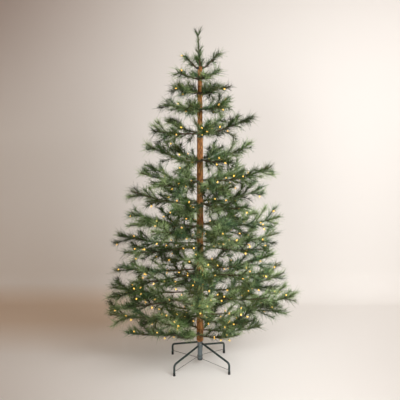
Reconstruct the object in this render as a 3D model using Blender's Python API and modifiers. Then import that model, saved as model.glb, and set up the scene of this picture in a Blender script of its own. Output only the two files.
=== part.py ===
"""Artificial pine christmas tree on a folding metal stand, in metres with +Z up.

The origin lies on the floor under the trunk.  The tree faces -Y, and its right-hand side is +X.
Azimuths are in degrees, from +X towards +Y.  Tiers of boughs are numbered from the floor up.
"""

import math
import random
from dataclasses import dataclass

import bmesh
import bpy
import numpy as np
from mathutils import Vector

OBJECT_NAME = "artificial_pine_christmas_tree"
GAP = 0.0003  # clearance between pieces that touch
SIDES = 20  # facets round a turned piece
WELD = 0.00001  # corners of a curve's caps or a turned seam nearer than this are one
MERGE = 0.0000001  # the same for the corners that a union leaves

# Stand
POLE_RADIUS = 0.0165
POLE_FOOT = 0.038
POLE_TOP = 0.1697
POLE_CAP = 0.034  # the pole's foot narrows to a cap with a point under it
POLE_CAP_RADIUS = 0.0135
POLE_TIP = 0.027
SOCKET_RADIUS = 0.0145
SOCKET_DEPTH = 0.040
SLEEVE_RADIUS = 0.0190
SLEEVE_HEIGHT = 0.0198
UPPER_SLEEVE = 0.1565  # heights of the sleeves' middles, where the legs leave them
LOWER_SLEEVE = 0.1363
LEG_RADIUS = 0.0070
LEG_STUB = 0.006
LEG_REACH = 0.2616
LEG_CORNER = 0.078
LEG_BEND = 0.028
FOOT_RADIUS = 0.0086
FOOT_HEIGHT = 0.020
FOOT_SOLE = 0.004
BRACE_RADIUS = 0.0015
BRACE_RING = 0.0022
BRACE_OUTER = 0.030
UPPER_BRACE = 0.065
LOWER_BRACE = 0.044
BOLT_RADIUS = 0.0045
BOLT_HEAD = 0.004
BOLT_AZIMUTH = -76
LEG_AZIMUTHS = {"front_right": -41.3, "back_right": 48.7, "back_left": 138.7, "front_left": 228.7}
UPPER_LEGS = ("front_right", "back_left")

# Trunk: a bark-covered pole in three sections, over the stand's socket
TRUNK_FOOT = 0.170
TRUNK_TOP = 2.041
TRUNK_FOOT_RADIUS = 0.0240
TRUNK_CHAMFER = 0.012
TRUNK_CUT_RADIUS = 0.0182
SPIGOT_CLEARANCE = 0.003
SECTION_JOINTS = (1.127, 1.592)
TRUNK_SECTIONS = (  # each section's foot and top, and its radius at both
    (0.170, 1.127, 0.0238, 0.0222),
    (1.127, 1.592, 0.0218, 0.0192),
    (1.592, 2.041, 0.0169, 0.0140),
)
JOINT_HEIGHT = 0.009
JOINT_DEPTH = 0.005

# Leader: the green shoot above the bark
LEADER_TOP = 2.256
TREE_HEIGHT = 2.286
LEADER_LEAN = -0.013
LEADER_RINGS = 6
LEADER_FIRST_RING = 0.12  # shares of its height where its first and last teeth stand
LEADER_LAST_RING = 0.94

# Boughs
STEM_LENGTH = 0.016
LIMB_RADIUS = 0.0065
LIMB_TIP_RADIUS = 0.0030
FAN_POWER = 9  # how soon the boughs of one stem turn to their own azimuths
RISE_POWER = 1.35  # above 1, a bough rises most towards its tip
CURVED_UP_TO = 1.45  # heights between which the boughs turn from sagging to straight
STRAIGHT_FROM = 1.90
BARE_SHARE = 0.28  # share of a bough that has no needles, next to the trunk
BARE_LIMB_SHARE = 0.34  # the same for a bough whose limb is a piece of its own
REACH_SPREAD = 0.04  # how much shorter a bough to the front or the back may be
SAG_SHARE = 0.035
WANDER = math.radians(5)
HEADING_STEP = 0.02

# Side twigs
TWIG_RADIUS = 0.0032
TWIG_TIP_RADIUS = 0.0020
FORK_ANGLE = math.radians(42)
FORK_SPREAD = math.radians(7)
FORK_TILT = math.radians(60)
NO_HANGING_BELOW = 0.45  # boughs rooted below this height have no side twigs that hang
FIRST_FORK = 0.04  # from the end of the bare stretch, as a share of the bough
LAST_FORK = 0.84
TWIG_SPACING = 0.170
MOST_TWIGS = 4
TWIG_SHARE = 0.425  # a twig's length at the trunk, as a share of its bough's
TWIG_FADE = 0.48  # how much shorter a twig at the bough's tip would be
TWIG_BEND = 0.10
SHORTEST_TWIG = 0.065
LONGEST_TWIG = 0.190

# Sprays of needles, as teeth in pairs round a twig
RING_SPACING = 0.088
TOOTH_SWEEP = 1.3  # how far a tooth leans forward, as a share of how far it stands out
TIP_LENGTH = 0.014  # from the last toothed ring to the point between its teeth
LONG_TWIG = 0.140  # a twig from this length on has two rings of teeth
FIRST_TEETH = 0.42  # where the first of the two stands, as a share of the twig's length
CLEARANCE = 0.004  # between the sprays of two pieces
SEED = 46

DIRECTIONS = (
    "right",
    "back_right",
    "back",
    "back_left",
    "left",
    "front_left",
    "front",
    "front_right",
)

BARK = (0.42, 0.20, 0.075, 1.0)
LIMB_BROWN = (0.085, 0.045, 0.025, 1.0)
STAND_GREY = (0.085, 0.105, 0.110, 1.0)
STEEL = (0.45, 0.45, 0.44, 1.0)
RUBBER = (0.015, 0.015, 0.016, 1.0)
NEEDLE_GREENS = ((0.075, 0.120, 0.050, 1.0), (0.060, 0.105, 0.062, 1.0), (0.095, 0.130, 0.055, 1.0))


@dataclass(frozen=True)
class Tier:
    """One whorl of boughs: its height on the trunk, and how far its boughs reach and rise."""

    height: float
    boughs: int
    turn: float  # azimuth of the first bough
    right_reach: float
    right_rise: float
    left_reach: float
    left_rise: float
    deep_rise: float  # rise of the boughs that point to the front and the back
    needles: float  # how far the needles stand out from a twig
    bare_limb: bool = False  # whether the first bough shows its limb, as a piece of its own

    @property
    def straight(self):
        """How straight the tier's boughs run: 0 low on the tree, and 1 near its top."""
        share = (self.height - CURVED_UP_TO) / (STRAIGHT_FROM - CURVED_UP_TO)
        return min(max(share, 0.0), 1.0)


TIERS = (
    Tier(0.236, 6, 8, 0.455, 0.030, 0.535, 0.030, 0.190, 0.029),
    Tier(0.370, 7, -10, 0.691, 0.205, 0.655, 0.055, 0.155, 0.030, True),
    Tier(0.524, 7, 164, 0.622, 0.120, 0.682, -0.030, 0.105, 0.030, True),
    Tier(0.684, 7, 169, 0.560, 0.085, 0.606, -0.015, 0.080, 0.030, True),
    Tier(0.869, 7, 164, 0.570, 0.060, 0.630, 0.015, 0.060, 0.029, True),
    Tier(0.994, 6, 352, 0.565, 0.085, 0.512, 0.085, 0.040, 0.028),
    Tier(1.145, 6, 186, 0.458, 0.118, 0.490, 0.105, 0.015, 0.028, True),
    Tier(1.293, 6, 350, 0.505, 0.130, 0.445, 0.055, 0.015, 0.028),
    Tier(1.437, 6, 184, 0.375, 0.130, 0.388, 0.125, 0.035, 0.027, True),
    Tier(1.610, 5, 205, 0.380, 0.140, 0.372, 0.025, 0.100, 0.026, True),
    Tier(1.769, 5, 172, 0.255, 0.072, 0.275, 0.033, 0.005, 0.025, True),
    Tier(1.872, 5, 10, 0.202, 0.052, 0.226, 0.060, 0.005, 0.024),
    Tier(1.962, 4, 15, 0.160, 0.064, 0.182, 0.058, 0.025, 0.023),
    Tier(2.032, 3, -20, 0.158, 0.125, 0.158, 0.115, 0.090, 0.021),
)


@dataclass(frozen=True)
class Ring:
    """A four-cornered section of a twig, where two corners may be drawn out into teeth."""

    centre: Vector
    core: float
    tooth: float = 0.0


@dataclass(frozen=True)
class Twig:
    """A run of rings that ends in a point."""

    rings: tuple
    tip: Vector
    roll: float = 0.0


@dataclass(frozen=True)
class Bough:
    """One bough of a tier: where its path starts and ends, and the piece that it belongs to."""

    tier: Tier
    label: str
    owner: str
    azimuth: float
    stem_azimuth: float

    @property
    def right_share(self):
        return (1 + math.cos(self.azimuth)) / 2

    @property
    def reach(self):
        side_reach = blend(self.tier.left_reach, self.tier.right_reach, self.right_share)
        shortfall = REACH_SPREAD * (1 + scatter(self.label, "reach")) * math.sin(self.azimuth) ** 2
        return side_reach * (1 - shortfall)

    @property
    def rise(self):
        side_rise = blend(self.tier.left_rise, self.tier.right_rise, self.right_share)
        return blend(side_rise, self.tier.deep_rise, math.sin(self.azimuth) ** 2)

    @property
    def start(self):
        return trunk_radius(self.tier.height - LIMB_RADIUS) + GAP + STEM_LENGTH

    @property
    def length(self):
        return self.reach - self.start

    def point(self, share):
        """A point of the bough's path, from its stem at 0 to its tip at 1."""
        wander = WANDER * scatter(self.label, "wander") * math.sin(math.pi * share)
        turn = (self.stem_azimuth - self.azimuth) * (1 - share) ** FAN_POWER
        azimuth = self.azimuth + turn + wander * share
        straight = self.tier.straight
        sag = SAG_SHARE * (1 - straight) * self.reach * math.sin(math.pi * share)
        return polar(
            blend(self.start, self.reach, share),
            azimuth,
            self.tier.height + self.rise * share ** blend(RISE_POWER, 1.0, straight) - sag,
        )

    def heading(self, share):
        """The path's direction at a share of its length."""
        return (self.point(share + HEADING_STEP) - self.point(share)).normalized()


class Room:
    """The room that limbs and sprays take up, as round-ended rods tagged with their owner."""

    def __init__(self):
        self.owners, self.starts, self.ends, self.radii = [], [], [], []

    def take(self, owner, points, radius):
        for start, end in zip(points, points[1:]):
            self.owners.append(owner)
            self.starts.append(tuple(start))
            self.ends.append(tuple(end))
            self.radii.append(radius)

    def is_clear(self, owner, points, radius):
        """Whether a rod through these points keeps its distance from every other owner's."""
        others = np.array([name != owner for name in self.owners])
        starts = np.array(self.starts)[others]
        spans = np.array(self.ends)[others] - starts
        radii = np.array(self.radii)[others]
        for start, end in zip(points, points[1:]):
            for share in np.linspace(0, 1, 9):
                place = np.array(start.lerp(end, float(share)))
                along = np.einsum("ij,ij->i", place - starts, spans)
                along = np.clip(along / np.einsum("ij,ij->i", spans, spans), 0, 1)
                away = np.linalg.norm(starts + spans * along[:, None] - place, axis=1)
                if (away < radii + radius + CLEARANCE).any():
                    return False
        return True


def scatter(*labels):
    """A fixed number from -1 to 1 for these labels."""
    return random.Random(f"{SEED}-{labels}").uniform(-1, 1)


def blend(low, high, share):
    return low + (high - low) * share


def polar(radius, azimuth, height):
    """The point at this radius and azimuth (radians) round the trunk's axis."""
    return Vector((radius * math.cos(azimuth), radius * math.sin(azimuth), height))


def trunk_radius(height):
    below = [section for section in TRUNK_SECTIONS if section[0] < height]
    foot, top, foot_radius, top_radius = below[-1] if below else TRUNK_SECTIONS[0]
    return blend(foot_radius, top_radius, (height - foot) / (top - foot))


def compass(azimuth):
    """A plain word for a direction round the trunk."""
    return DIRECTIONS[round(math.degrees(azimuth) / 45) % len(DIRECTIONS)]


# Blender helpers


def finish(name, colour, roughness, metallic=0.0):
    material = bpy.data.materials.new(name)
    material.use_nodes = True
    shader = material.node_tree.nodes["Principled BSDF"]
    shader.inputs["Base Color"].default_value = colour
    shader.inputs["Roughness"].default_value = roughness
    shader.inputs["Metallic"].default_value = metallic
    material.diffuse_color = colour
    return material


def place_object(name, data, collection, material):
    shape = bpy.data.objects.new(name, data)
    data.materials.append(material)
    collection.objects.link(shape)
    return shape


def turned(name, profile, collection, material, closed=False, sides=SIDES):
    """A profile of (radius, height) points, listed from the top down its outer side, and turned."""
    mesh = bpy.data.meshes.new(name)
    count = len(profile)
    edges = [(index, index + 1) for index in range(count - 1)]
    if closed:
        edges.append((count - 1, 0))
    mesh.from_pydata([(radius, 0.0, height) for radius, height in profile], edges, [])
    shape = place_object(name, mesh, collection, material)
    screw = shape.modifiers.new("turn", "SCREW")
    screw.axis = "Z"
    screw.steps = sides
    screw.render_steps = sides
    screw.use_merge_vertices = True
    screw.merge_threshold = WELD
    screw.use_smooth_shade = False
    return shape


def tube(name, points, radius, collection, material, resolution=2):
    """A round bar along straight runs between these points."""
    curve = bpy.data.curves.new(name, "CURVE")
    curve.dimensions = "3D"
    curve.bevel_depth = radius
    curve.bevel_resolution = resolution
    curve.use_fill_caps = True
    spline = curve.splines.new("POLY")
    spline.points.add(len(points) - 1)
    for spot, place in zip(spline.points, points):
        spot.co = (*place, 1.0)
    return place_object(name, curve, collection, material)


def rounded(corner, before, after, radius, segments=5):
    """Points of the arc that rounds a corner between two straight runs."""
    back = (before - corner).normalized()
    ahead = (after - corner).normalized()
    half = back.angle(ahead) / 2
    middle = corner + (back + ahead).normalized() * (radius / math.sin(half))
    first = (corner + back * (radius / math.tan(half)) - middle).normalized()
    last = (corner + ahead * (radius / math.tan(half)) - middle).normalized()
    return [middle + first.slerp(last, step / segments) * radius for step in range(segments + 1)]


def as_mesh(shape, collection):
    """The evaluated shape as a plain closed mesh object, in place of the shape."""
    bpy.context.view_layer.update()
    graph = bpy.context.evaluated_depsgraph_get()
    mesh = bpy.data.meshes.new_from_object(shape.evaluated_get(graph))
    name = shape.name
    placed = shape.matrix_world.copy()
    bpy.data.objects.remove(shape)
    build = bmesh.new()
    build.from_mesh(mesh)
    bmesh.ops.remove_doubles(build, verts=build.verts, dist=WELD)
    bmesh.ops.recalc_face_normals(build, faces=build.faces)
    build.to_mesh(mesh)
    build.free()
    solid = bpy.data.objects.new(name, mesh)
    solid.matrix_world = placed
    collection.objects.link(solid)
    return solid


def largest_body(mesh):
    """Keep a mesh's largest loose body, in triangles, and say whether it is closed."""
    build = bmesh.new()
    build.from_mesh(mesh)
    bmesh.ops.remove_doubles(build, verts=build.verts, dist=MERGE)
    bodies = []
    unseen = set(build.verts)
    while unseen:
        body = {unseen.pop()}
        edge_of_body = list(body)
        while edge_of_body:
            spot = edge_of_body.pop()
            for edge in spot.link_edges:
                neighbour = edge.other_vert(spot)
                if neighbour in unseen:
                    unseen.remove(neighbour)
                    body.add(neighbour)
                    edge_of_body.append(neighbour)
        bodies.append(body)
    bodies.sort(key=len)
    scraps = [spot for body in bodies[:-1] for spot in body]
    bmesh.ops.delete(build, geom=scraps, context="VERTS")
    bmesh.ops.triangulate(build, faces=build.faces)
    closed = bool(build.faces) and all(len(edge.link_faces) == 2 for edge in build.edges)
    build.to_mesh(mesh)
    build.free()
    return closed


def fuse(name, shapes, collection, material):
    """One solid from overlapping shapes, by a single Boolean union on a collection."""
    operands = bpy.data.collections.new(f"{name}_operands")
    bpy.context.scene.collection.children.link(operands)
    body, *rest = shapes
    for shape in rest:
        for holder in list(shape.users_collection):
            holder.objects.unlink(shape)
        operands.objects.link(shape)
    union = body.modifiers.new("union", "BOOLEAN")
    union.operation = "UNION"
    union.operand_type = "COLLECTION"
    union.collection = operands
    union.show_viewport = bool(rest)
    for solver in ("EXACT", "MANIFOLD"):
        union.solver = solver
        bpy.context.view_layer.update()
        graph = bpy.context.evaluated_depsgraph_get()
        mesh = bpy.data.meshes.new_from_object(body.evaluated_get(graph))
        if largest_body(mesh):
            break
    for shape in shapes:
        bpy.data.objects.remove(shape)
    bpy.data.collections.remove(operands)
    mesh.name = name
    mesh.materials.clear()
    return place_object(name, mesh, collection, material)


# Stand


def stand_pole(collection, material):
    socket_floor = POLE_TOP - SOCKET_DEPTH
    profile = [
        (0.0, socket_floor),
        (SOCKET_RADIUS, socket_floor),
        (SOCKET_RADIUS, POLE_TOP),
        (POLE_RADIUS, POLE_TOP),
        (POLE_RADIUS, POLE_FOOT),
        (POLE_CAP_RADIUS, POLE_CAP),
        (0.0, POLE_TIP),
    ]
    return turned("stand_pole", profile, collection, material)


def ring_profile(inner, outer, middle, height):
    top = middle + height / 2
    bottom = middle - height / 2
    return [(outer, top), (outer, bottom), (inner, bottom), (inner, top)]


def stand_sleeve(name, middle, collection, material):
    profile = ring_profile(POLE_RADIUS + GAP, SLEEVE_RADIUS, middle, SLEEVE_HEIGHT)
    return turned(name, profile, collection, material, closed=True)


def stand_leg(name, azimuth, height, collection, material):
    """A bent tube from its sleeve down to its foot."""
    inner = polar(SLEEVE_RADIUS + GAP, azimuth, height)
    stub = polar(SLEEVE_RADIUS + LEG_STUB, azimuth, height)
    corner = polar(LEG_REACH, azimuth, LEG_CORNER)
    sole = polar(LEG_REACH, azimuth, FOOT_SOLE + GAP)
    points = [inner, stub, *rounded(corner, stub, sole, LEG_BEND), sole]
    return tube(name, points, LEG_RADIUS, collection, material)


def stand_foot(name, azimuth, collection, material):
    """A rubber cup on the leg's end, flat under its sole."""
    pocket = LEG_RADIUS + GAP
    profile = [
        (0.0, FOOT_SOLE),
        (pocket, FOOT_SOLE),
        (pocket, FOOT_HEIGHT),
        (FOOT_RADIUS, FOOT_HEIGHT),
        (FOOT_RADIUS, 0.0),
        (0.0, 0.0),
    ]
    foot = turned(name, profile, collection, material, sides=14)
    foot.location = polar(LEG_REACH, azimuth, 0.0)
    return foot


def stand_brace(name, azimuth, height, collection, material):
    """Two wires from opposite legs, joined by a ring round the pole."""
    inner = POLE_RADIUS + GAP
    outer = inner + BRACE_RING
    ring = turned(
        f"{name}_ring",
        ring_profile(inner, outer, height, 4 * BRACE_RADIUS),
        collection,
        material,
        closed=True,
    )
    shapes = [as_mesh(ring, collection)]
    for side in (0.0, math.pi):
        start = polar(inner + BRACE_RING / 2, azimuth + side, height)
        end = polar(LEG_REACH - LEG_RADIUS - GAP, azimuth + side, BRACE_OUTER)
        wire = tube(f"{name}_wire", [start, end], BRACE_RADIUS, collection, material, 1)
        shapes.append(as_mesh(wire, collection))
    return fuse(name, shapes, collection, material)


def stand_bolt(collection, material):
    """The hexagon bolt head that clamps the upper sleeve."""
    azimuth = math.radians(BOLT_AZIMUTH)
    bpy.ops.mesh.primitive_cylinder_add(
        vertices=6,
        radius=BOLT_RADIUS,
        depth=BOLT_HEAD,
        location=polar(SLEEVE_RADIUS + GAP + BOLT_HEAD / 2, azimuth, UPPER_SLEEVE),
        rotation=(0.0, math.pi / 2, azimuth),
    )
    bolt = bpy.context.object
    bolt.name = "stand_bolt"
    for holder in list(bolt.users_collection):
        holder.objects.unlink(bolt)
    collection.objects.link(bolt)
    bolt.data.materials.append(material)
    return bolt


def build_stand(collection):
    painted = finish("stand_paint", STAND_GREY, 0.45, 0.6)
    steel = finish("bright_steel", STEEL, 0.3, 1.0)
    rubber = finish("foot_rubber", RUBBER, 0.8)
    stand_pole(collection, painted)
    stand_sleeve("stand_sleeve_upper", UPPER_SLEEVE, collection, painted)
    stand_sleeve("stand_sleeve_lower", LOWER_SLEEVE, collection, painted)
    stand_bolt(collection, steel)
    for word, degrees in LEG_AZIMUTHS.items():
        azimuth = math.radians(degrees)
        height = UPPER_SLEEVE if word in UPPER_LEGS else LOWER_SLEEVE
        stand_leg(f"stand_leg_{word}", azimuth, height, collection, painted)
        stand_foot(f"stand_foot_{word}", azimuth, collection, rubber)
    lower_pair = math.radians(LEG_AZIMUTHS["back_left"])
    upper_pair = math.radians(LEG_AZIMUTHS["back_right"])
    stand_brace("stand_brace_upper", upper_pair, UPPER_BRACE, collection, steel)
    stand_brace("stand_brace_lower", lower_pair, LOWER_BRACE, collection, steel)


# Trunk


def build_trunk(collection):
    """The bark sleeve and its spigot, with a neck where two sections of the pole meet."""
    profile = [(0.0, TRUNK_TOP), (trunk_radius(TRUNK_TOP), TRUNK_TOP)]
    for joint in reversed(SECTION_JOINTS):
        top = joint + JOINT_HEIGHT / 2
        bottom = joint - JOINT_HEIGHT / 2
        neck = trunk_radius(joint) - JOINT_DEPTH
        profile += [(trunk_radius(top), top), (neck, top), (neck, bottom)]
        profile.append((trunk_radius(bottom), bottom))
    spigot = SOCKET_RADIUS - GAP
    spigot_foot = POLE_TOP - SOCKET_DEPTH + SPIGOT_CLEARANCE
    profile += [
        (trunk_radius(TRUNK_FOOT + TRUNK_CHAMFER), TRUNK_FOOT + TRUNK_CHAMFER),
        (TRUNK_CUT_RADIUS, TRUNK_FOOT),
        (spigot, TRUNK_FOOT),
        (spigot, spigot_foot),
        (0.0, spigot_foot),
    ]
    return turned("trunk", profile, collection, finish("bark", BARK, 0.85))


# Boughs, twigs and needles


def ring_axes(rings, index):
    """The direction of a twig at one of its rings, and two directions across it."""
    before = rings[max(index - 1, 0)].centre
    after = rings[min(index + 1, len(rings) - 1)].centre
    forward = (after - before).normalized()
    upright = Vector((0, 0, 1)) if abs(forward.z) < 0.9 else Vector((0, 1, 0))
    across = forward.cross(upright).normalized()
    return forward, across, across.cross(forward)


def twig_shape(name, twig, collection):
    """A closed mesh along the rings, whose teeth point forward and are a quarter turn apart."""
    build = bmesh.new()
    loops = []
    teeth = set()
    for index, ring in enumerate(twig.rings):
        forward, across, over = ring_axes(twig.rings, index)
        loop = []
        for corner in range(4):
            angle = twig.roll + corner * math.pi / 2
            out = across * math.cos(angle) + over * math.sin(angle)
            place = ring.centre + out * ring.core
            toothed = ring.tooth > 0 and corner % 2 == index % 2
            if toothed:
                place = ring.centre + (out + forward * TOOTH_SWEEP) * ring.tooth
            spot = build.verts.new(place)
            loop.append(spot)
            if toothed:
                teeth.add(spot)
        loops.append(loop)
    build.faces.new(loops[0])
    for near, far in zip(loops, loops[1:]):
        for corner in range(4):
            follow = (corner + 1) % 4
            first, second, third, fourth = near[corner], near[follow], far[follow], far[corner]
            if first in teeth or third in teeth:
                build.faces.new((first, second, fourth))
                build.faces.new((second, third, fourth))
            else:
                build.faces.new((first, second, third))
                build.faces.new((first, third, fourth))
    point = build.verts.new(twig.tip)
    for corner in range(4):
        build.faces.new((loops[-1][corner], loops[-1][(corner + 1) % 4], point))
    bmesh.ops.recalc_face_normals(build, faces=build.faces)
    mesh = bpy.data.meshes.new(name)
    build.to_mesh(mesh)
    build.free()
    shape = bpy.data.objects.new(name, mesh)
    collection.objects.link(shape)
    return shape


def bough_twig(bough, first_share, first_ring=None):
    """The bough's own axis: bare next to the trunk, then toothed to its tip."""
    bare = max(BARE_SHARE, first_share + FIRST_FORK)
    last = 1 - TOOTH_SWEEP * bough.tier.needles / bough.length
    count = max(2, 1 + round((last - bare) * bough.length / RING_SPACING))
    rings = [Ring(bough.point(first_share), limb_radius(first_share))]
    if first_ring:
        rings.insert(0, first_ring)
    middle = (first_share + bare) / 2
    rings.append(Ring(bough.point(middle), limb_radius(middle)))
    for step in range(count):
        share = blend(bare, last, step / (count - 1))
        rings.append(Ring(bough.point(share), limb_radius(share), bough.tier.needles))
    tip = bough.point(last + TIP_LENGTH / bough.length)
    return Twig(tuple(rings), tip, scatter(bough.label, "roll"))


def limb_radius(share):
    return blend(LIMB_RADIUS, LIMB_TIP_RADIUS, share)


def side_twig(bough, number, share):
    """A side twig that forks forward from the bough, to one side and then the other."""
    forward = bough.heading(share)
    across = forward.cross(Vector((0, 0, 1))).normalized()
    over = across.cross(forward)
    side = 1 if number % 2 else -1
    tilt = FORK_TILT * scatter(bough.label, number, "tilt")
    if bough.tier.height < NO_HANGING_BELOW:
        tilt = abs(tilt)
    fork = FORK_ANGLE + FORK_SPREAD * scatter(bough.label, number, "fork")
    out = across * (side * math.cos(tilt)) + over * math.sin(tilt)
    heading = forward * math.cos(fork) + out * math.sin(fork)
    length = TWIG_SHARE * bough.length * (1 - TWIG_FADE * share)
    length = min(max(length, SHORTEST_TWIG), LONGEST_TWIG)
    root = bough.point(share)
    bend = forward * (TWIG_BEND * length)
    last = 1 - TOOTH_SWEEP * bough.tier.needles / length
    point = last + TIP_LENGTH / length

    def place(along):
        return root + heading * (length * along) + bend * along**2

    rings = [Ring(root, TWIG_RADIUS)]
    for along in (FIRST_TEETH, last) if length >= LONG_TWIG else (last,):
        core = blend(TWIG_RADIUS, TWIG_TIP_RADIUS, along)
        rings.append(Ring(place(along), core, bough.tier.needles))
    return Twig(tuple(rings), place(point), scatter(bough.label, number, "roll"))


def tier_boughs():
    """Every bough of the tree, with the piece that it belongs to."""
    boughs = []
    for level, tier in enumerate(TIERS, start=1):
        step = 360 / tier.boughs
        azimuths = [math.radians(tier.turn + step * index) for index in range(tier.boughs)]
        groups = []
        if tier.bare_limb:
            groups.append(azimuths[:1])
            azimuths = azimuths[1:]
        half = (len(azimuths) + 1) // 2
        groups += [azimuths[:half], azimuths[half:]]
        for group in groups:
            stem_azimuth = sum(group) / len(group)
            owner = f"foliage_tier_{level:02d}_{compass(stem_azimuth)}"
            for azimuth in group:
                label = f"{level}-{len(boughs)}"
                boughs.append(Bough(tier, label, owner, azimuth, stem_azimuth))
    return boughs


def has_own_limb(bough, boughs):
    """Whether the bough is the only one of its piece on a tier that shows a bare limb."""
    shared = [other for other in boughs if other.owner == bough.owner]
    return bough.tier.bare_limb and len(shared) == 1


def stem_start(tier, azimuth):
    """The point where a stem or limb meets the bark."""
    return polar(trunk_radius(tier.height - LIMB_RADIUS) + GAP, azimuth, tier.height)


def build_limb(bough, collection, material):
    """A bare limb of its own, from the bark to where its foliage starts."""
    name = bough.owner.replace("foliage", "bough")
    shares = [0.0, BARE_LIMB_SHARE / 2, BARE_LIMB_SHARE]
    rings = [Ring(stem_start(bough.tier, bough.azimuth), LIMB_RADIUS)]
    rings += [Ring(bough.point(share), limb_radius(share)) for share in shares]
    points = [ring.centre for ring in rings]
    limb = tube(name, points, 1.0, collection, material, 1)
    limb.data.bevel_depth = LIMB_RADIUS
    for spot, ring in zip(limb.data.splines[0].points, rings):
        spot.radius = ring.core / LIMB_RADIUS
    return limb


def build_foliage(collection):
    """All boughs, grown in turn so that each side twig keeps clear of the other pieces."""
    greens = [
        finish(f"needles_{index}", colour, 0.6) for index, colour in enumerate(NEEDLE_GREENS)
    ]
    brown = finish("limb_brown", LIMB_BROWN, 0.7)
    boughs = tier_boughs()
    room = Room()
    room.take("trunk", [polar(0, 0, TRUNK_FOOT), polar(0, 0, TRUNK_TOP)], TRUNK_FOOT_RADIUS)
    room.take("leader", [polar(0, 0, TRUNK_TOP), polar(0, 0, LEADER_TOP)], TIERS[-1].needles)
    pieces = {}
    for bough in boughs:
        twigs = pieces.setdefault(bough.owner, [])
        first_share = 0.0
        first_ring = None
        if has_own_limb(bough, boughs):
            build_limb(bough, collection, brown)
            end = BARE_LIMB_SHARE
            first_share = end + GAP / bough.length
            limb_room = [stem_start(bough.tier, bough.azimuth), bough.point(0), bough.point(end)]
            room.take(bough.owner, limb_room, LIMB_RADIUS)
        elif not twigs:
            first_ring = Ring(stem_start(bough.tier, bough.stem_azimuth), LIMB_RADIUS)
        axis = bough_twig(bough, first_share, first_ring)
        twigs.append(axis)
        centres = [ring.centre for ring in axis.rings] + [axis.tip]
        bare = sum(ring.tooth == 0 for ring in axis.rings)
        room.take(bough.owner, centres[: bare + 1], LIMB_RADIUS)
        room.take(bough.owner, centres[bare:], bough.tier.needles)
    for bough in boughs:
        count = min(max(round(bough.length / TWIG_SPACING), 1), MOST_TWIGS)
        bare = BARE_LIMB_SHARE if has_own_limb(bough, boughs) else BARE_SHARE
        for number in range(count):
            share = blend(bare + FIRST_FORK, LAST_FORK, (number + 0.5) / count)
            twig = side_twig(bough, number, share)
            path = [ring.centre for ring in twig.rings[1:]] + [twig.tip]
            if room.is_clear(bough.owner, path, bough.tier.needles):
                room.take(bough.owner, path, bough.tier.needles)
                pieces[bough.owner].append(twig)
    for index, (owner, twigs) in enumerate(pieces.items()):
        shapes = [
            twig_shape(f"{owner}_{number}", twig, collection) for number, twig in enumerate(twigs)
        ]
        fuse(owner, shapes, collection, greens[index % len(greens)])


def build_leader(collection, material):
    """The needled shoot at the top of the tree, with a fork of needles at its tip."""
    needles = TIERS[-1].needles
    foot = TRUNK_TOP + GAP
    rings = [Ring(polar(0, 0, foot + rise), LIMB_RADIUS) for rise in (0.0, STEM_LENGTH / 2)]
    for step in range(LEADER_RINGS):
        share = blend(LEADER_FIRST_RING, LEADER_LAST_RING, step / (LEADER_RINGS - 1))
        height = blend(TRUNK_TOP, LEADER_TOP, share)
        centre = Vector((LEADER_LEAN * share, 0, height))
        rings.append(Ring(centre, limb_radius(share), needles))
    slope = abs(LEADER_LEAN) / (LEADER_TOP - TRUNK_TOP)
    fork = (TREE_HEIGHT - rings[-1].centre.z) / (TOOTH_SWEEP + slope)
    rings[-1] = Ring(rings[-1].centre, LIMB_TIP_RADIUS, fork)
    twig = Twig(tuple(rings), Vector((LEADER_LEAN, 0, LEADER_TOP)))
    leader = twig_shape("foliage_leader", twig, collection)
    leader.data.materials.append(material)
    return leader


def main():
    for shape in list(bpy.data.objects):
        bpy.data.objects.remove(shape)
    collection = bpy.data.collections.new(OBJECT_NAME)
    bpy.context.scene.collection.children.link(collection)
    build_stand(collection)
    build_trunk(collection)
    build_foliage(collection)
    build_leader(collection, finish("leader_green", NEEDLE_GREENS[0], 0.6))


main()
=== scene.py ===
"""Dress an artificial pine christmas tree on its folding stand: bark, boughs, needles and lights.

The tree faces -Y and its right-hand side is +X.  Sizes are in metres, and azimuths run from +X
towards +Y.  Tiers of boughs are numbered from the floor up.  The boughs and their side twigs
follow the rule of the part's own source, and are carried on here to finer twigs and needles.
"""

import logging
import math
import random
from collections.abc import Iterable, Iterator, Sequence
from dataclasses import dataclass, field
from enum import Enum
from functools import cache

import bmesh
import bpy
import numpy as np
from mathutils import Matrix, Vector


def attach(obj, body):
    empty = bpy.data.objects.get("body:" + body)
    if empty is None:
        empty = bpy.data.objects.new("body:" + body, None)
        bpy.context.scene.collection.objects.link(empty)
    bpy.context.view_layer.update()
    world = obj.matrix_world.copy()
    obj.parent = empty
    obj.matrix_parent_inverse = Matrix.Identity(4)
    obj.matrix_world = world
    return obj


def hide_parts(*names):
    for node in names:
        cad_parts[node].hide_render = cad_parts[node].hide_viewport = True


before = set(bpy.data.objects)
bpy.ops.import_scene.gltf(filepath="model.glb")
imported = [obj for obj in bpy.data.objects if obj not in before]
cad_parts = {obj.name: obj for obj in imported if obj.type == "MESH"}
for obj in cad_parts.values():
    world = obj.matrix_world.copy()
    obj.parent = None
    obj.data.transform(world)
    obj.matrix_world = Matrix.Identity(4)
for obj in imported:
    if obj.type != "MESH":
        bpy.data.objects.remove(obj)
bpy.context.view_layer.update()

LOG = logging.getLogger("tree")
BODY = "root"
SCRATCH_ATTRIBUTES = ("forward", "across", "thickness", "needles", "sweep", "shade", "lift")
Piece = bpy.types.Object
Material = bpy.types.Material
Node = bpy.types.Node
Socket = bpy.types.NodeSocket
Span = tuple[float, float]
Profile = Sequence[Span]
Colour = tuple[float, float, float]

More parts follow.
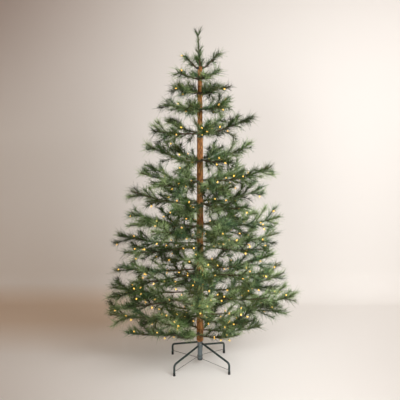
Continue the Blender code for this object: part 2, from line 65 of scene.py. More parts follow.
# The source's sizes that the boughs are grown from
GAP = 0.0003
TRUNK_FOOT = 0.170
TRUNK_TOP = 2.041
TRUNK_FOOT_RADIUS = 0.0240
TRUNK_SECTIONS = (  # each section's foot and top, and its radius at both
    (0.170, 1.127, 0.0238, 0.0222),
    (1.127, 1.592, 0.0218, 0.0192),
    (1.592, 2.041, 0.0169, 0.0140),
)
STEM_LENGTH = 0.016
LIMB_RADIUS = 0.0065
FAN_POWER = 9
RISE_POWER = 1.35
CURVED_UP_TO = 1.45
STRAIGHT_FROM = 1.90
BARE_SHARE = 0.28
BARE_LIMB_SHARE = 0.34
REACH_SPREAD = 0.04
SAG_SHARE = 0.035
WANDER = math.radians(5)
HEADING_STEP = 0.02
FORK_ANGLE = math.radians(42)
FORK_SPREAD = math.radians(7)
FORK_TILT = math.radians(60)
NO_HANGING_BELOW = 0.45
FIRST_FORK = 0.04
LAST_FORK = 0.84
TWIG_SPACING = 0.170
MOST_TWIGS = 4
TWIG_SHARE = 0.425
TWIG_FADE = 0.48
TWIG_BEND = 0.10
SHORTEST_TWIG = 0.065
LONGEST_TWIG = 0.190
RING_SPACING = 0.088
TOOTH_SWEEP = 1.3
TIP_LENGTH = 0.014
LONG_TWIG = 0.140
FIRST_TEETH = 0.42
CLEARANCE = 0.004
LEADER_TOP = 2.256
LEADER_LEAN = -0.013
SEED = 46
DIRECTIONS = ("right", "back_right", "back", "back_left", "left", "front_left", "front", "front_right")

# Sizes of the stand and of turned shapes
UPPER_SLEEVE = 0.1565
LOWER_SLEEVE = 0.1363
SOFT_EDGE = 0.0006


# The rule that the boughs grow by


def scatter(*labels: object) -> float:
    """A fixed number from -1 to 1 for these labels."""
    return random.Random(f"{SEED}-{labels}").uniform(-1, 1)


def blend(low: float, high: float, share: float) -> float:
    """The number that lies this share of the way from low to high."""
    return low + (high - low) * share


def ramp(low: float, high: float, value: float) -> float:
    """A smooth step from 0 where value is low to 1 where it is high."""
    share = min(max((value - low) / (high - low), 0.0), 1.0)
    return share * share * (3 - 2 * share)


def polar(radius: float, azimuth: float, height: float) -> Vector:
    """The point at this radius and azimuth (radians) round the trunk's axis."""
    return Vector((radius * math.cos(azimuth), radius * math.sin(azimuth), height))


def trunk_radius(height: float) -> float:
    """The bark's radius at a height.

    Args:
        height: a height above the floor, inside the bark.

    Returns:
        The radius there.
    """
    below = [section for section in TRUNK_SECTIONS if section[0] < height]
    foot, top, foot_radius, top_radius = below[-1] if below else TRUNK_SECTIONS[0]
    return blend(foot_radius, top_radius, (height - foot) / (top - foot))


def compass(azimuth: float) -> str:
    """A plain word for a direction round the trunk."""
    return DIRECTIONS[round(math.degrees(azimuth) / 45) % len(DIRECTIONS)]


@dataclass(frozen=True)
class Tier:
    """One whorl of boughs: its height on the trunk, and how far its boughs reach and rise."""

    height: float
    boughs: int
    turn: float
    right_reach: float
    right_rise: float
    left_reach: float
    left_rise: float
    deep_rise: float
    needles: float
    bare_limb: bool = False

    @property
    def straight(self) -> float:
        """How straight the tier's boughs run: 0 low on the tree, and 1 near its top."""
        share = (self.height - CURVED_UP_TO) / (STRAIGHT_FROM - CURVED_UP_TO)
        return min(max(share, 0.0), 1.0)


TIERS = (
    Tier(0.236, 6, 8, 0.455, 0.030, 0.535, 0.030, 0.190, 0.029),
    Tier(0.370, 7, -10, 0.691, 0.205, 0.655, 0.055, 0.155, 0.030, True),
    Tier(0.524, 7, 164, 0.622, 0.120, 0.682, -0.030, 0.105, 0.030, True),
    Tier(0.684, 7, 169, 0.560, 0.085, 0.606, -0.015, 0.080, 0.030, True),
    Tier(0.869, 7, 164, 0.570, 0.060, 0.630, 0.015, 0.060, 0.029, True),
    Tier(0.994, 6, 352, 0.565, 0.085, 0.512, 0.085, 0.040, 0.028),
    Tier(1.145, 6, 186, 0.458, 0.118, 0.490, 0.105, 0.015, 0.028, True),
    Tier(1.293, 6, 350, 0.505, 0.130, 0.445, 0.055, 0.015, 0.028),
    Tier(1.437, 6, 184, 0.375, 0.130, 0.388, 0.125, 0.035, 0.027, True),
    Tier(1.610, 5, 205, 0.380, 0.140, 0.372, 0.025, 0.100, 0.026, True),
    Tier(1.769, 5, 172, 0.255, 0.072, 0.275, 0.033, 0.005, 0.025, True),
    Tier(1.872, 5, 10, 0.202, 0.052, 0.226, 0.060, 0.005, 0.024),
    Tier(1.962, 4, 15, 0.160, 0.064, 0.182, 0.058, 0.025, 0.023),
    Tier(2.032, 3, -20, 0.158, 0.125, 0.158, 0.115, 0.090, 0.021),
)


@dataclass(frozen=True)
class Bough:
    """One bough of a tier: where its path starts and ends, and the piece that it belongs to."""

    tier: Tier
    label: str
    owner: str
    azimuth: float
    stem_azimuth: float
    own_limb: bool

    @property
    def right_share(self) -> float:
        """How far the bough points to the tree's right: 0 for left and 1 for right."""
        return (1 + math.cos(self.azimuth)) / 2

    @property
    def reach(self) -> float:
        """How far from the trunk's axis the bough ends.

        Returns:
            The distance, with a small spread in depth.
        """
        side_reach = blend(self.tier.left_reach, self.tier.right_reach, self.right_share)
        shortfall = REACH_SPREAD * (1 + scatter(self.label, "reach")) * math.sin(self.azimuth) ** 2
        return side_reach * (1 - shortfall)

    @property
    def rise(self) -> float:
        """How far above its root the bough ends."""
        side_rise = blend(self.tier.left_rise, self.tier.right_rise, self.right_share)
        return blend(side_rise, self.tier.deep_rise, math.sin(self.azimuth) ** 2)

    @property
    def root(self) -> float:
        """How far from the trunk's axis the bough's stem meets the bark."""
        return trunk_radius(self.tier.height - LIMB_RADIUS) + GAP

    @property
    def start(self) -> float:
        """How far from the trunk's axis the bough's path starts."""
        return self.root + STEM_LENGTH

    @property
    def length(self) -> float:
        """The path's length, seen from above."""
        return self.reach - self.start

    @property
    def bare(self) -> float:
        """The share of the bough, next to the trunk, that has no needles."""
        return BARE_LIMB_SHARE if self.own_limb else BARE_SHARE

    def point(self, share: float) -> Vector:
        """A point of the bough's path, from its stem at 0 to its tip at 1.

        Args:
            share: how far along the path the point lies.

        Returns:
            The point.
        """
        wander = WANDER * scatter(self.label, "wander") * math.sin(math.pi * share)
        turn = (self.stem_azimuth - self.azimuth) * (1 - share) ** FAN_POWER
        azimuth = self.azimuth + turn + wander * share
        straight = self.tier.straight
        sag = SAG_SHARE * (1 - straight) * self.reach * math.sin(math.pi * share)
        height = self.tier.height + self.rise * share ** blend(RISE_POWER, 1.0, straight) - sag
        return polar(blend(self.start, self.reach, share), azimuth, height)

    def heading(self, share: float) -> Vector:
        """The path's direction at a share of its length."""
        return (self.point(share + HEADING_STEP) - self.point(share)).normalized()

    def room(self) -> tuple[list[Vector], list[Vector]]:
        """The points of its bare and of its needled stretch, between which it takes up room.

        Returns:
            The points of the bare stretch, and those of the needled stretch.
        """
        first = self.bare + GAP / self.length if self.own_limb else 0.0
        bare = max(BARE_SHARE, first + FIRST_FORK)
        last = 1 - TOOTH_SWEEP * self.tier.needles / self.length
        count = max(2, 1 + round((last - bare) * self.length / RING_SPACING))
        needled = [blend(bare, last, step / (count - 1)) for step in range(count)]
        needled.append(last + TIP_LENGTH / self.length)
        limb = [first, (first + bare) / 2, bare]
        return [self.point(share) for share in limb], [self.point(share) for share in needled]


@dataclass(frozen=True)
class Twig:
    """A side twig that leaves a longer one and bends forward a little."""

    label: str
    root: Vector
    reach: Vector
    bend: Vector

    @property
    def length(self) -> float:
        """The twig's length."""
        return self.reach.length

    def point(self, share: float) -> Vector:
        """A point of the twig, from its root at 0 to its tip at 1."""
        return self.root + self.reach * share + self.bend * share**2

    def heading(self, share: float) -> Vector:
        """The twig's direction at a share of its length."""
        return (self.reach + self.bend * (2 * share)).normalized()


Path = Bough | Twig


def across_and_over(forward: Vector) -> tuple[Vector, Vector]:
    """Two directions across a path: one level, and one on its upper side."""
    across = forward.cross(Vector((0, 0, 1))).normalized()
    return across, across.cross(forward)


def fork(path: Path, label: str, share: float, side: int, tilt: float, angle: float, length: float) -> Twig:
    """A twig that forks forward from a path.

    Args:
        path: what the twig leaves.
        label: the twig's own label.
        share: where on the path it leaves.
        side: 1 or -1, for one side of the path or the other.
        tilt: how far the fork's plane is turned up from level, in radians.
        angle: how far the twig turns away from the path, in radians.
        length: the twig's length.

    Returns:
        The twig.
    """
    forward = path.heading(share)
    across, over = across_and_over(forward)
    out = across * (side * math.cos(tilt)) + over * math.sin(tilt)
    heading = forward * math.cos(angle) + out * math.sin(angle)
    return Twig(label, path.point(share), heading * length, forward * (TWIG_BEND * length))


def either_side(label: str) -> int:
    """1 or -1, for one side of a path or the other."""
    return 1 if scatter(label, "side") > 0 else -1


def fork_angle(label: str, middle: float = FORK_ANGLE) -> float:
    """How far a twig turns away from its path, in radians."""
    return middle + FORK_SPREAD * scatter(label, "fork")


def alternate(number: int) -> int:
    """-1 and 1 by turns: the side of each twig in a row."""
    return 1 if number % 2 else -1


def uneven(label: str, spread: float) -> float:
    """About 1, more or less by up to this spread: what a twig's usual length is multiplied by."""
    return 1 + spread * scatter(label, "length")


def side_twigs(bough: Bough) -> list[Twig]:
    """The side twigs that the source gives a bough.

    Args:
        bough: the bough.

    Returns:
        The twigs, in order from the trunk outwards.
    """
    count = min(max(round(bough.length / TWIG_SPACING), 1), MOST_TWIGS)
    twigs = []
    for number in range(count):
        share = blend(bough.bare + FIRST_FORK, LAST_FORK, (number + 0.5) / count)
        tilt = FORK_TILT * scatter(bough.label, number, "tilt")
        if bough.tier.height < NO_HANGING_BELOW:
            tilt = abs(tilt)
        angle = FORK_ANGLE + FORK_SPREAD * scatter(bough.label, number, "fork")
        length = TWIG_SHARE * bough.length * (1 - TWIG_FADE * share)
        length = min(max(length, SHORTEST_TWIG), LONGEST_TWIG)
        label = f"{bough.label}-{number}"
        twigs.append(fork(bough, label, share, alternate(number), tilt, angle, length))
    return twigs


def all_boughs() -> list[Bough]:
    """Every bough of the tree, with the piece that it belongs to.

    Returns:
        The boughs, tier by tier from the floor up.
    """
    boughs = []
    for level, tier in enumerate(TIERS, start=1):
        step = 360 / tier.boughs
        azimuths = [math.radians(tier.turn + step * index) for index in range(tier.boughs)]
        groups = []
        if tier.bare_limb:
            groups.append(azimuths[:1])
            azimuths = azimuths[1:]
        half = (len(azimuths) + 1) // 2
        groups += [azimuths[:half], azimuths[half:]]
        for group in groups:
            stem = sum(group) / len(group)
            owner = f"foliage_tier_{level:02d}_{compass(stem)}"
            for azimuth in group:
                label = f"{level}-{len(boughs)}"
                own_limb = tier.bare_limb and len(group) == 1
                boughs.append(Bough(tier, label, owner, azimuth, stem, own_limb))
    return boughs


@dataclass
class Room:
    """The room that limbs and sprays take up, as round-ended rods tagged with their owner."""

    owners: list[str] = field(default_factory=list)
    rods: list[tuple[float, ...]] = field(default_factory=list)

    def take(self, owner: str, points: list[Vector], radius: float) -> None:
        """Keep the room round the runs between these points for this owner.

        Args:
            owner: the name of the mass or the limb.
            points: the corners of the runs.
            radius: how far the room reaches round them.
        """
        for start, end in zip(points, points[1:]):
            self.owners.append(owner)
            self.rods.append((*start, *end, radius))

    def is_clear(self, owner: str, points: list[Vector], radius: float) -> bool:
        """Whether a rod through these points keeps its distance from every other owner's.

        Args:
            owner: the name of what the rod belongs to.
            points: the corners of the rod.
            radius: the rod's radius.

        Returns:
            True where nothing of another owner is nearer than the clearance.
        """
        others = np.array([name != owner for name in self.owners])
        rods = np.array(self.rods)[others]
        starts, spans, radii = rods[:, :3], rods[:, 3:6] - rods[:, :3], rods[:, 6]
        for start, end in zip(points, points[1:]):
            for share in np.linspace(0, 1, 9):
                place = np.array(start.lerp(end, float(share)))
                along = np.einsum("ij,ij->i", place - starts, spans)
                along = np.clip(along / np.einsum("ij,ij->i", spans, spans), 0, 1)
                away = np.linalg.norm(starts + spans * along[:, None] - place, axis=1)
                if (away < radii + radius + CLEARANCE).any():
                    return False
        return True


# Node trees


def port(sockets: bpy.types.bpy_prop_collection, name: str = "") -> Socket:
    """The first socket in use that has this identifier or name, or the first of all.

    Args:
        sockets: a node's inputs or outputs.
        name: the identifier or the name looked for, or nothing for the first socket.

    Returns:
        The socket.
    """
    used = [socket for socket in sockets if socket.enabled]
    exact = [socket for socket in used if socket.identifier == name]
    named = [socket for socket in used if name in ("", socket.name)]
    return (exact or named)[0]


class Sketch:
    """A node tree while it is drawn."""

    def __init__(self, tree: bpy.types.NodeTree) -> None:
        """Draw in this tree."""
        self.tree = tree

    def add(self, kind: str, inputs: dict[str, object] | None = None, **settings: object) -> Node:
        """Add a node.

        Args:
            kind: the node's type.
            inputs: a value, a socket or a node for each input's name.
            settings: the node's own properties.

        Returns:
            The node.
        """
        node = self.tree.nodes.new(kind)
        for name, value in settings.items():
            setattr(node, name, value)
        for name, value in (inputs or {}).items():
            self.feed(port(node.inputs, name), value)
        return node

    def feed(self, socket: Socket, value: object) -> None:
        """Give a socket a value, or link it to a node's first output or to a socket.

        Args:
            socket: the input that is fed.
            value: a plain value, a node or a socket.
        """
        if isinstance(value, Node):
            value = port(value.outputs)
        if isinstance(value, Socket):
            self.tree.links.new(value, socket)
        else:
            socket.default_value = value

    def math(self, operation: str, *numbers: object) -> Node:
        """A sum, a product or another operation on numbers."""
        inputs = dict(zip(("Value", "Value_001", "Value_002"), numbers))
        return self.add("ShaderNodeMath", inputs, operation=operation)

    def vector(self, operation: str, first: object, second: object) -> Node:
        """An operation on two vectors."""
        inputs = {"Vector": first, "Vector_001": second}
        return self.add("ShaderNodeVectorMath", inputs, operation=operation)

    def scaled(self, vector: object, scale: object) -> Node:
        """A vector times a number."""
        return self.add("ShaderNodeVectorMath", {"Vector": vector, "Scale": scale}, operation="SCALE")

    def spread(self, value: object, low: float, high: float, to_low: float, to_high: float) -> Node:
        """A number moved from one range to another, and held inside it."""
        inputs = {"Value": value, "From Min": low, "From Max": high}
        return self.add("ShaderNodeMapRange", {**inputs, "To Min": to_low, "To Max": to_high})


class Grower(Sketch):
    """A Geometry Nodes tree with named sizes, whose result is kept as a plain mesh."""

    def __init__(self, name: str) -> None:
        """Start a tree that takes a shape and gives a shape.

        Args:
            name: the tree's name.
        """
        super().__init__(bpy.data.node_groups.new(name, "GeometryNodeTree"))
        for way in ("INPUT", "OUTPUT"):
            self.tree.interface.new_socket("Geometry", in_out=way, socket_type="NodeSocketGeometry")
        self.entry = self.tree.nodes.new("NodeGroupInput")
        self.exit = self.tree.nodes.new("NodeGroupOutput")
        self.values: dict[str, float | int] = {}

    def size(self, name: str, value: float | int) -> Socket:
        """A named input of the tree, with its value.

        Args:
            name: the input's name.
            value: the value that it is set to when the tree is run.

        Returns:
            The input's socket inside the tree.
        """
        kind = "NodeSocketInt" if isinstance(value, int) else "NodeSocketFloat"
        item = self.tree.interface.new_socket(name, in_out="INPUT", socket_type=kind)
        self.values[item.identifier] = value
        return self.entry.outputs[name]

    def attribute(self, name: str, kind: str = "FLOAT") -> Socket:
        """A named attribute of the shape."""
        return port(self.add("GeometryNodeInputNamedAttribute", {"Name": name}, data_type=kind).outputs)

    def store(self, shape: object, name: str, value: object, kind: str = "FLOAT") -> Node:
        """Keep a value at each point of the shape under a name."""
        inputs = {"Geometry": shape, "Name": name, "Value": value}
        return self.add("GeometryNodeStoreNamedAttribute", inputs, data_type=kind)

    def chance(self, low: object, high: object, seed: object, step: int) -> Node:
        """A random number for each element, told apart from others of the tree by its step."""
        inputs = {"Min": low, "Max": high, "ID": self.add("GeometryNodeInputIndex")}
        return self.add("FunctionNodeRandomValue", {**inputs, "Seed": self.math("ADD", seed, step)})

    def turned(self, ahead: object, aside: object, angle: object) -> Node:
        """A direction turned from one way towards another by an angle."""
        first = self.scaled(ahead, self.math("COSINE", angle))
        return self.vector("ADD", first, self.scaled(aside, self.math("SINE", angle)))

    def tubes(self, sides: int) -> Node:
        """Round tubes on the source's lines, as thick as their points say.

        Args:
            sides: how many facets a tube has round.

        Returns:
            The node that gives the closed tubes.
        """
        line = self.add("GeometryNodeMeshToCurve", {"Mesh": self.entry.outputs["Geometry"]})
        circle = {"Resolution": self.size("Sides", sides), "Radius": 1.0}
        ring = self.add("GeometryNodeCurvePrimitiveCircle", circle)
        inputs = {"Curve": line, "Profile Curve": ring, "Scale": self.attribute("thickness")}
        return self.add("GeometryNodeCurveToMesh", {**inputs, "Fill Caps": True})

    def push_out(self, shape: object, distance: object) -> Node:
        """The shape with its points moved out of its surface."""
        offset = self.scaled(self.add("GeometryNodeInputNormal"), distance)
        return self.add("GeometryNodeSetPosition", {"Geometry": shape, "Offset": offset})

    def end(self, shape: object, material: Material | None = None) -> None:
        """Finish the tree with a smooth shape of one material, or a flat one that has its own.

        Args:
            shape: the node that gives the shape.
            material: what the whole shape is dressed in, or nothing where it is dressed already.
        """
        inputs = {"Geometry": shape, "Shade Smooth": material is not None}
        shape = self.add("GeometryNodeSetShadeSmooth", inputs)
        if material:
            shape = self.add("GeometryNodeSetMaterial", {"Geometry": shape, "Material": material})
        self.feed(self.exit.inputs["Geometry"], shape)

    def grow(self, source: Piece, name: str) -> Piece:
        """Run the tree on a source, and put a plain mesh in its place.

        Args:
            source: the object that the tree starts from.
            name: the new object's name.

        Returns:
            The new object, at the origin.
        """
        modifier = source.modifiers.new(self.tree.name, "NODES")
        modifier.node_group = self.tree
        for identifier, value in self.values.items():
            modifier[identifier] = value
        graph = bpy.context.evaluated_depsgraph_get()
        mesh = bpy.data.meshes.new_from_object(source.evaluated_get(graph), depsgraph=graph)
        bpy.data.objects.remove(source)
        return add_piece(name, mesh)


# Pieces


def add_piece(name: str, mesh: bpy.types.Mesh, material: Material | None = None) -> Piece:
    """A new object at the origin, with its place in its mesh.

    Args:
        name: the object's name and its mesh's.
        mesh: the mesh.
        material: what it is dressed in, or nothing where the mesh is dressed already.

    Returns:
        The object.
    """
    mesh.name = name
    if material:
        mesh.materials.append(material)
    piece = bpy.data.objects.new(name, mesh)
    bpy.context.scene.collection.objects.link(piece)
    return piece


class Slot(Enum):
    """The record's material slots."""

    BARK = "bark"
    LIMB = "limb"
    NEEDLES = "needles"
    STAND = "stand_paint"
    STEEL = "steel"
    RUBBER = "foot_rubber"


def ride(piece: Piece, replaced: str = "") -> Piece:
    """Make a piece part of the object.

    Args:
        piece: the piece.
        replaced: how the names of the CAD nodes begin that it stands for, if it stands for any.

    Returns:
        The piece, with only the attributes that its looks need.
    """
    for name in SCRATCH_ATTRIBUTES:
        if name in piece.data.attributes:
            piece.data.attributes.remove(piece.data.attributes[name])
    if replaced:
        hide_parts(*[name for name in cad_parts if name.startswith(replaced)])
    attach(piece, BODY)
    triangles = sum(polygon.loop_total - 2 for polygon in piece.data.polygons)
    LOG.info("%s: %d triangles", piece.name, triangles)
    return piece


# Finishes


class Surface(Sketch):
    """A material while it is drawn."""

    def __init__(self, name: str, colour: Colour, roughness: float, metallic: float) -> None:
        """Start a material with its shader's plain values.

        Args:
            name: the material's name.
            colour: its colour.
            roughness: its roughness.
            metallic: how metallic it is, from 0 to 1.
        """
        self.material = bpy.data.materials.new(name)
        self.material.use_nodes = True
        self.material.diffuse_color = (*colour, 1.0)
        super().__init__(self.material.node_tree)
        self.set("Base Color", (*colour, 1.0))
        self.set("Roughness", roughness)
        self.set("Metallic", metallic)

    def set(self, name: str, value: object) -> None:
        """Give one of the shader's inputs a value or a link."""
        self.feed(port(self.tree.nodes["Principled BSDF"].inputs, name), value)

    def noise(self, scale: float, detail: float = 4.0, stretch: float = 1.0) -> Node:
        """Noise that stays in place on the object, finer or coarser along its height.

        Args:
            scale: how fine the noise is.
            detail: how many finer layers it has.
            stretch: less than 1 draws it out along the height.

        Returns:
            The noise, about 0.5 on average.
        """
        place = port(self.add("ShaderNodeTexCoord").outputs, "Object")
        place = self.vector("MULTIPLY", place, (1.0, 1.0, stretch))
        return self.add("ShaderNodeTexNoise", {"Vector": place, "Scale": scale, "Detail": detail})

    def tint(self, amount: object, low: object, high: object) -> Node:
        """A colour between two, by an amount from 0 to 1.

        Args:
            amount: 0 for the low colour and 1 for the high one.
            low: a colour, or what gives one.
            high: another.

        Returns:
            The colour between them.
        """
        low, high = ((*end, 1.0) if isinstance(end, tuple) else end for end in (low, high))
        inputs = {"Factor": amount, "A_Color": low, "B_Color": high}
        return self.add("ShaderNodeMix", inputs, data_type="RGBA")

    def bump(self, height: object, distance: float) -> None:
        """Give the surface fine relief."""
        self.set("Normal", self.add("ShaderNodeBump", {"Height": height, "Distance": distance}))


@dataclass(frozen=True)
class Finish:
    """What a piece is dressed in: a shader's plain values, and what a kind of finish draws on them."""

    name: str
    colour: Colour
    roughness: float
    metallic: float = 0.0

    @cache
    def material(self) -> Material:
        """The finish as a material.

        Returns:
            The material, the same one each time.
        """
        surface = Surface(self.name, self.colour, self.roughness, self.metallic)
        self.draw(surface)
        return surface.material

    def draw(self, surface: Surface) -> None:
        """Draw what sets this kind of finish apart."""


@dataclass(frozen=True)
class PlainFinish(Finish):
    """A surface of one colour that fine noise breaks up."""

    mottle: float = 0.18
    grain: float = 260.0
    relief: float = 0.0002

    def draw(self, surface: Surface) -> None:
        """Break up the colour and the gloss.

        Args:
            surface: the material while it is drawn.
        """
        cloud = surface.spread(surface.noise(self.grain), 0.3, 0.7, 0.0, 1.0)
        low, high = (tuple(min(part * way, 1.0) for part in self.colour) for way in self.around(1.0))
        surface.set("Base Color", surface.tint(cloud, low, high))
        surface.set("Roughness", surface.spread(cloud, 0, 1, *self.around(self.roughness)))
        surface.bump(cloud, self.relief)

    def around(self, value: float) -> Span:
        """The lowest and the highest value that the mottle gives."""
        return value * (1 - self.mottle), value * (1 + self.mottle)


@dataclass(frozen=True)
class WornPaint(Finish):
    """Paint on metal, with an uneven gloss and wear that bares a lighter tone."""

    roughness: float = 0.42
    metallic: float = 0.35
    worn: Colour = (0.240, 0.275, 0.285)
    scuffs: float = 34.0
    orange_peel: float = 900.0

    def draw(self, surface: Surface) -> None:
        """Wear the paint and break up its gloss.

        Args:
            surface: the material while it is drawn.
        """
        wear = surface.spread(surface.noise(self.scuffs, 8.0), 0.56, 0.74, 0.0, 0.7)
        surface.set("Base Color", surface.tint(wear, self.colour, self.worn))
        low, high = self.roughness * 0.85, self.roughness * 1.3
        surface.set("Roughness", surface.spread(surface.noise(self.scuffs * 2), 0.3, 0.7, low, high))
        surface.bump(surface.noise(self.orange_peel, 2.0), 0.00006)


@dataclass(frozen=True)
class NeedleFinish(Finish):
    """One shade of soft plastic needles: a plain colour, because sprays are told apart by shade."""

    roughness: float = 0.60
    sheen: float = 0.04
    gloss: float = 0.26

    def draw(self, surface: Surface) -> None:
        """Soften the gloss."""
        surface.set("Specular IOR Level", self.gloss)
        surface.set("Sheen Weight", self.sheen)


@dataclass(frozen=True)
class BarkFinish(Finish):
    """Moulded bark: painted plates in several browns, with dark furrows between them."""

    name: str = "moulded_bark"
    colour: Colour = (0.740, 0.400, 0.130)
    roughness: float = 0.82
    furrow: Colour = (0.050, 0.017, 0.006)
    dark: Colour = (0.160, 0.058, 0.013)
    red: Colour = (0.410, 0.155, 0.036)
    patches: float = 26.0
    streaks: float = 95.0
    grain: float = 900.0

    def draw(self, surface: Surface) -> None:
        """Paint the plates and the furrows, by the values that the bark's tree keeps.

        Args:
            surface: the material while it is drawn.
        """
        plate, height = (
            port(surface.add("ShaderNodeAttribute", attribute_name=name).outputs, "Fac")
            for name in ("plate", "height")
        )
        streak = surface.spread(surface.noise(self.streaks, 6.0, 0.3), 0.32, 0.68, 0.0, 1.0)
        patch = surface.spread(surface.noise(self.patches, 5.0, 0.5), 0.38, 0.64, 0.0, 1.0)
        shade = surface.math("MULTIPLY_ADD", streak, 0.5, surface.math("MULTIPLY", plate, 0.5))
        deep = surface.tint(shade, self.dark, self.red)
        brown = surface.tint(patch, deep, surface.tint(shade, self.red, self.colour))
        depth = surface.spread(height, 0.1, 0.75, 0.0, 1.0)
        surface.set("Base Color", surface.tint(depth, self.furrow, brown))
        surface.bump(surface.noise(self.grain, 6.0, 0.5), 0.0005)


@dataclass(frozen=True)
class BulbFinish(Finish):
    """A warm lamp's clear dome, lit from inside."""

    name: str = "lit_dome"
    colour: Colour = (0.50, 0.26, 0.04)
    roughness: float = 0.2
    glow: Colour = (1.0, 0.60, 0.10)
    strength: float = 1.9

    def draw(self, surface: Surface) -> None:
        """Light the dome.

        Args:
            surface: the material while it is drawn.
        """
        surface.set("Emission Color", (*self.glow, 1.0))
        surface.set("Emission Strength", self.strength)
        surface.bump(surface.noise(500.0), 0.0001)


@dataclass(frozen=True)
class PaperFinish(Finish):
    """Studio paper with a painted shadow on the left at the floor's back, painted shade on the left high up,
    and see-through from behind.
    """

    name: str = "studio_paper"
    colour: Colour = (0.80, 0.785, 0.76)
    roughness: float = 0.9
    painted_floor_shadow: Colour = (0.70, 0.58, 0.47)
    painted_wall_shade: Colour = (0.53, 0.47, 0.445)

    def draw(self, surface: Surface) -> None:
        """Paint shadow and shade onto the paper, and clear its back.

        Args:
            surface: the material while it is drawn.
        """
        place = port(surface.add("ShaderNodeTexCoord").outputs, "Object")
        across, back, up = surface.add("ShaderNodeSeparateXYZ", {"Vector": place}).outputs
        # painted shadow: the floor's back on the left is darker and warmer
        far = surface.spread(back, 0.15, 0.85, 0.0, 1.0)
        aside = surface.spread(across, -0.8, 0.3, 1.0, 0.0)
        low = surface.spread(up, 0.0, 0.14, 1.0, 0.0)
        shade = surface.math("MULTIPLY", surface.math("MULTIPLY", far, aside), low)
        # painted shade: the wall darkens towards its top on the left
        high = surface.spread(up, 1.45, 2.6, 0.0, 1.0)
        left = surface.spread(across, -1.7, -0.3, 1.0, 0.0)
        tone = surface.tint(shade, self.colour, self.painted_floor_shadow)
        surface.set("Base Color", surface.tint(surface.math("MULTIPLY", high, left), tone, self.painted_wall_shade))
        behind = port(surface.add("ShaderNodeNewGeometry").outputs, "Backfacing")
        surface.set("Alpha", surface.math("SUBTRACT", 1.0, behind))


# Needle colours from deep to light; sprays take the deep one mostly as painted shade and the light ones
# mostly as painted light
NEEDLE_SHADES = (
    NeedleFinish("needles_deep", (0.016, 0.028, 0.005)),
    NeedleFinish("needles_olive", (0.104, 0.128, 0.026)),
    NeedleFinish("needles_green", (0.064, 0.142, 0.030)),
    NeedleFinish("needles_blue_green", (0.070, 0.155, 0.076)),
    NeedleFinish("needles_grey_green", (0.222, 0.312, 0.138)),
    NeedleFinish("needles_light", (0.325, 0.455, 0.188)),
)
LIMB_BARK = PlainFinish("wrapped_limb", (0.080, 0.046, 0.026), 0.75, mottle=0.45, relief=0.0006)
TWIG_WRAP = PlainFinish("wrapped_twig", (0.044, 0.042, 0.020), 0.75, mottle=0.40, relief=0.0003)
WIRE_GREEN = PlainFinish("wire_green", (0.020, 0.045, 0.022), 0.45)
COLLAR_BLACK = PlainFinish("collar_plastic", (0.018, 0.026, 0.024), 0.5)
POLE_PAINT = WornPaint("pole_paint", (0.150, 0.190, 0.205))
LEG_PAINT = WornPaint("leg_paint", (0.032, 0.052, 0.050), worn=(0.075, 0.100, 0.098))
BRACE_WIRE = PlainFinish("dark_wire", (0.070, 0.056, 0.046), 0.45, 0.7, mottle=0.25, grain=420.0)
BOLT_STEEL = PlainFinish("bright_bolt", (0.520, 0.510, 0.490), 0.25, 1.0, mottle=0.12, grain=420.0)
FOOT_RUBBER = PlainFinish("foot_rubber", (0.016, 0.016, 0.017), 0.82, mottle=0.3)


# Strands: the lines that limbs, twigs and needles are grown on


@dataclass
class Strand:
    """A line of points, with a limb's thickness and its needles at each."""

    points: list[Vector] = field(default_factory=list)
    thickness: list[float] = field(default_factory=list)
    needles: list[float] = field(default_factory=list)
    sweep: list[float] = field(default_factory=list)
    shade: int = 0
    lift: float = 0.12

    def put(self, point: Vector, thickness: float, needles: float = 0.0, sweep: float = 0.0) -> None:
        """Add a point at the strand's end.

        Args:
            point: the place.
            thickness: the radius of the wood there.
            needles: how long the needles are there.
            sweep: how far they stand off the line, in radians.
        """
        self.points.append(point)
        self.thickness.append(thickness)
        self.needles.append(needles)
        self.sweep.append(sweep)


def bare_strand(spots: Iterable[tuple[Vector, float]]) -> Strand:
    """A strand with no needles, through these points, as thick as each says.

    Args:
        spots: each point with the radius there.

    Returns:
        The strand.
    """
    strand = Strand()
    for point, thickness in spots:
        strand.put(point, thickness)
    return strand


def strand_object(strands: list[Strand]) -> Piece:
    """One object of loose edges from many strands, with their values as attributes.

    Args:
        strands: the strands, which stay apart.

    Returns:
        The object that a tree of nodes starts from.
    """
    mesh = bpy.data.meshes.new("strands")
    points, edges = [], []
    for strand in strands:
        first = len(points)
        points += strand.points
        edges += [(spot, spot + 1) for spot in range(first, len(points) - 1)]
    mesh.from_pydata([tuple(point) for point in points], edges, [])
    for label in ("thickness", "needles", "sweep"):
        values = [value for strand in strands for value in getattr(strand, label)]
        mesh.attributes.new(label, "FLOAT", "POINT").data.foreach_set("value", values)
    for label, kind in (("shade", "INT"), ("lift", "FLOAT")):
        values = [getattr(strand, label) for strand in strands for _ in strand.points]
        mesh.attributes.new(label, kind, "POINT").data.foreach_set("value", values)
    return add_piece(mesh.name, mesh)


@dataclass(frozen=True)
class TubeGrower:
    """Grows round limbs or wires along strands, with a rough skin."""

    finish: Finish
    sides: int
    relief: float = 0.0
    grain: float = 160.0
    seed: int = 3

    @cache
    def tree(self) -> Grower:
        """The tree that grows the tubes.

        Returns:
            The tree, the same one each time.
        """
        tree = Grower("tubes")
        relief = tree.size("Relief", self.relief)
        inputs = {"Vector": tree.add("GeometryNodeInputPosition"), "Scale": self.grain, "W": self.seed}
        cloud = tree.add("ShaderNodeTexNoise", inputs, noise_dimensions="4D")
        push = tree.math("MULTIPLY", tree.spread(cloud, 0.3, 0.7, -1.0, 1.0), relief)
        rough = tree.push_out(tree.tubes(self.sides), push)
        tree.end(rough, self.finish.material())
        return tree

    def grow(self, strands: list[Strand], name: str) -> Piece:
        """The tubes along these strands, as one mesh."""
        return self.tree().grow(strand_object(strands), name)


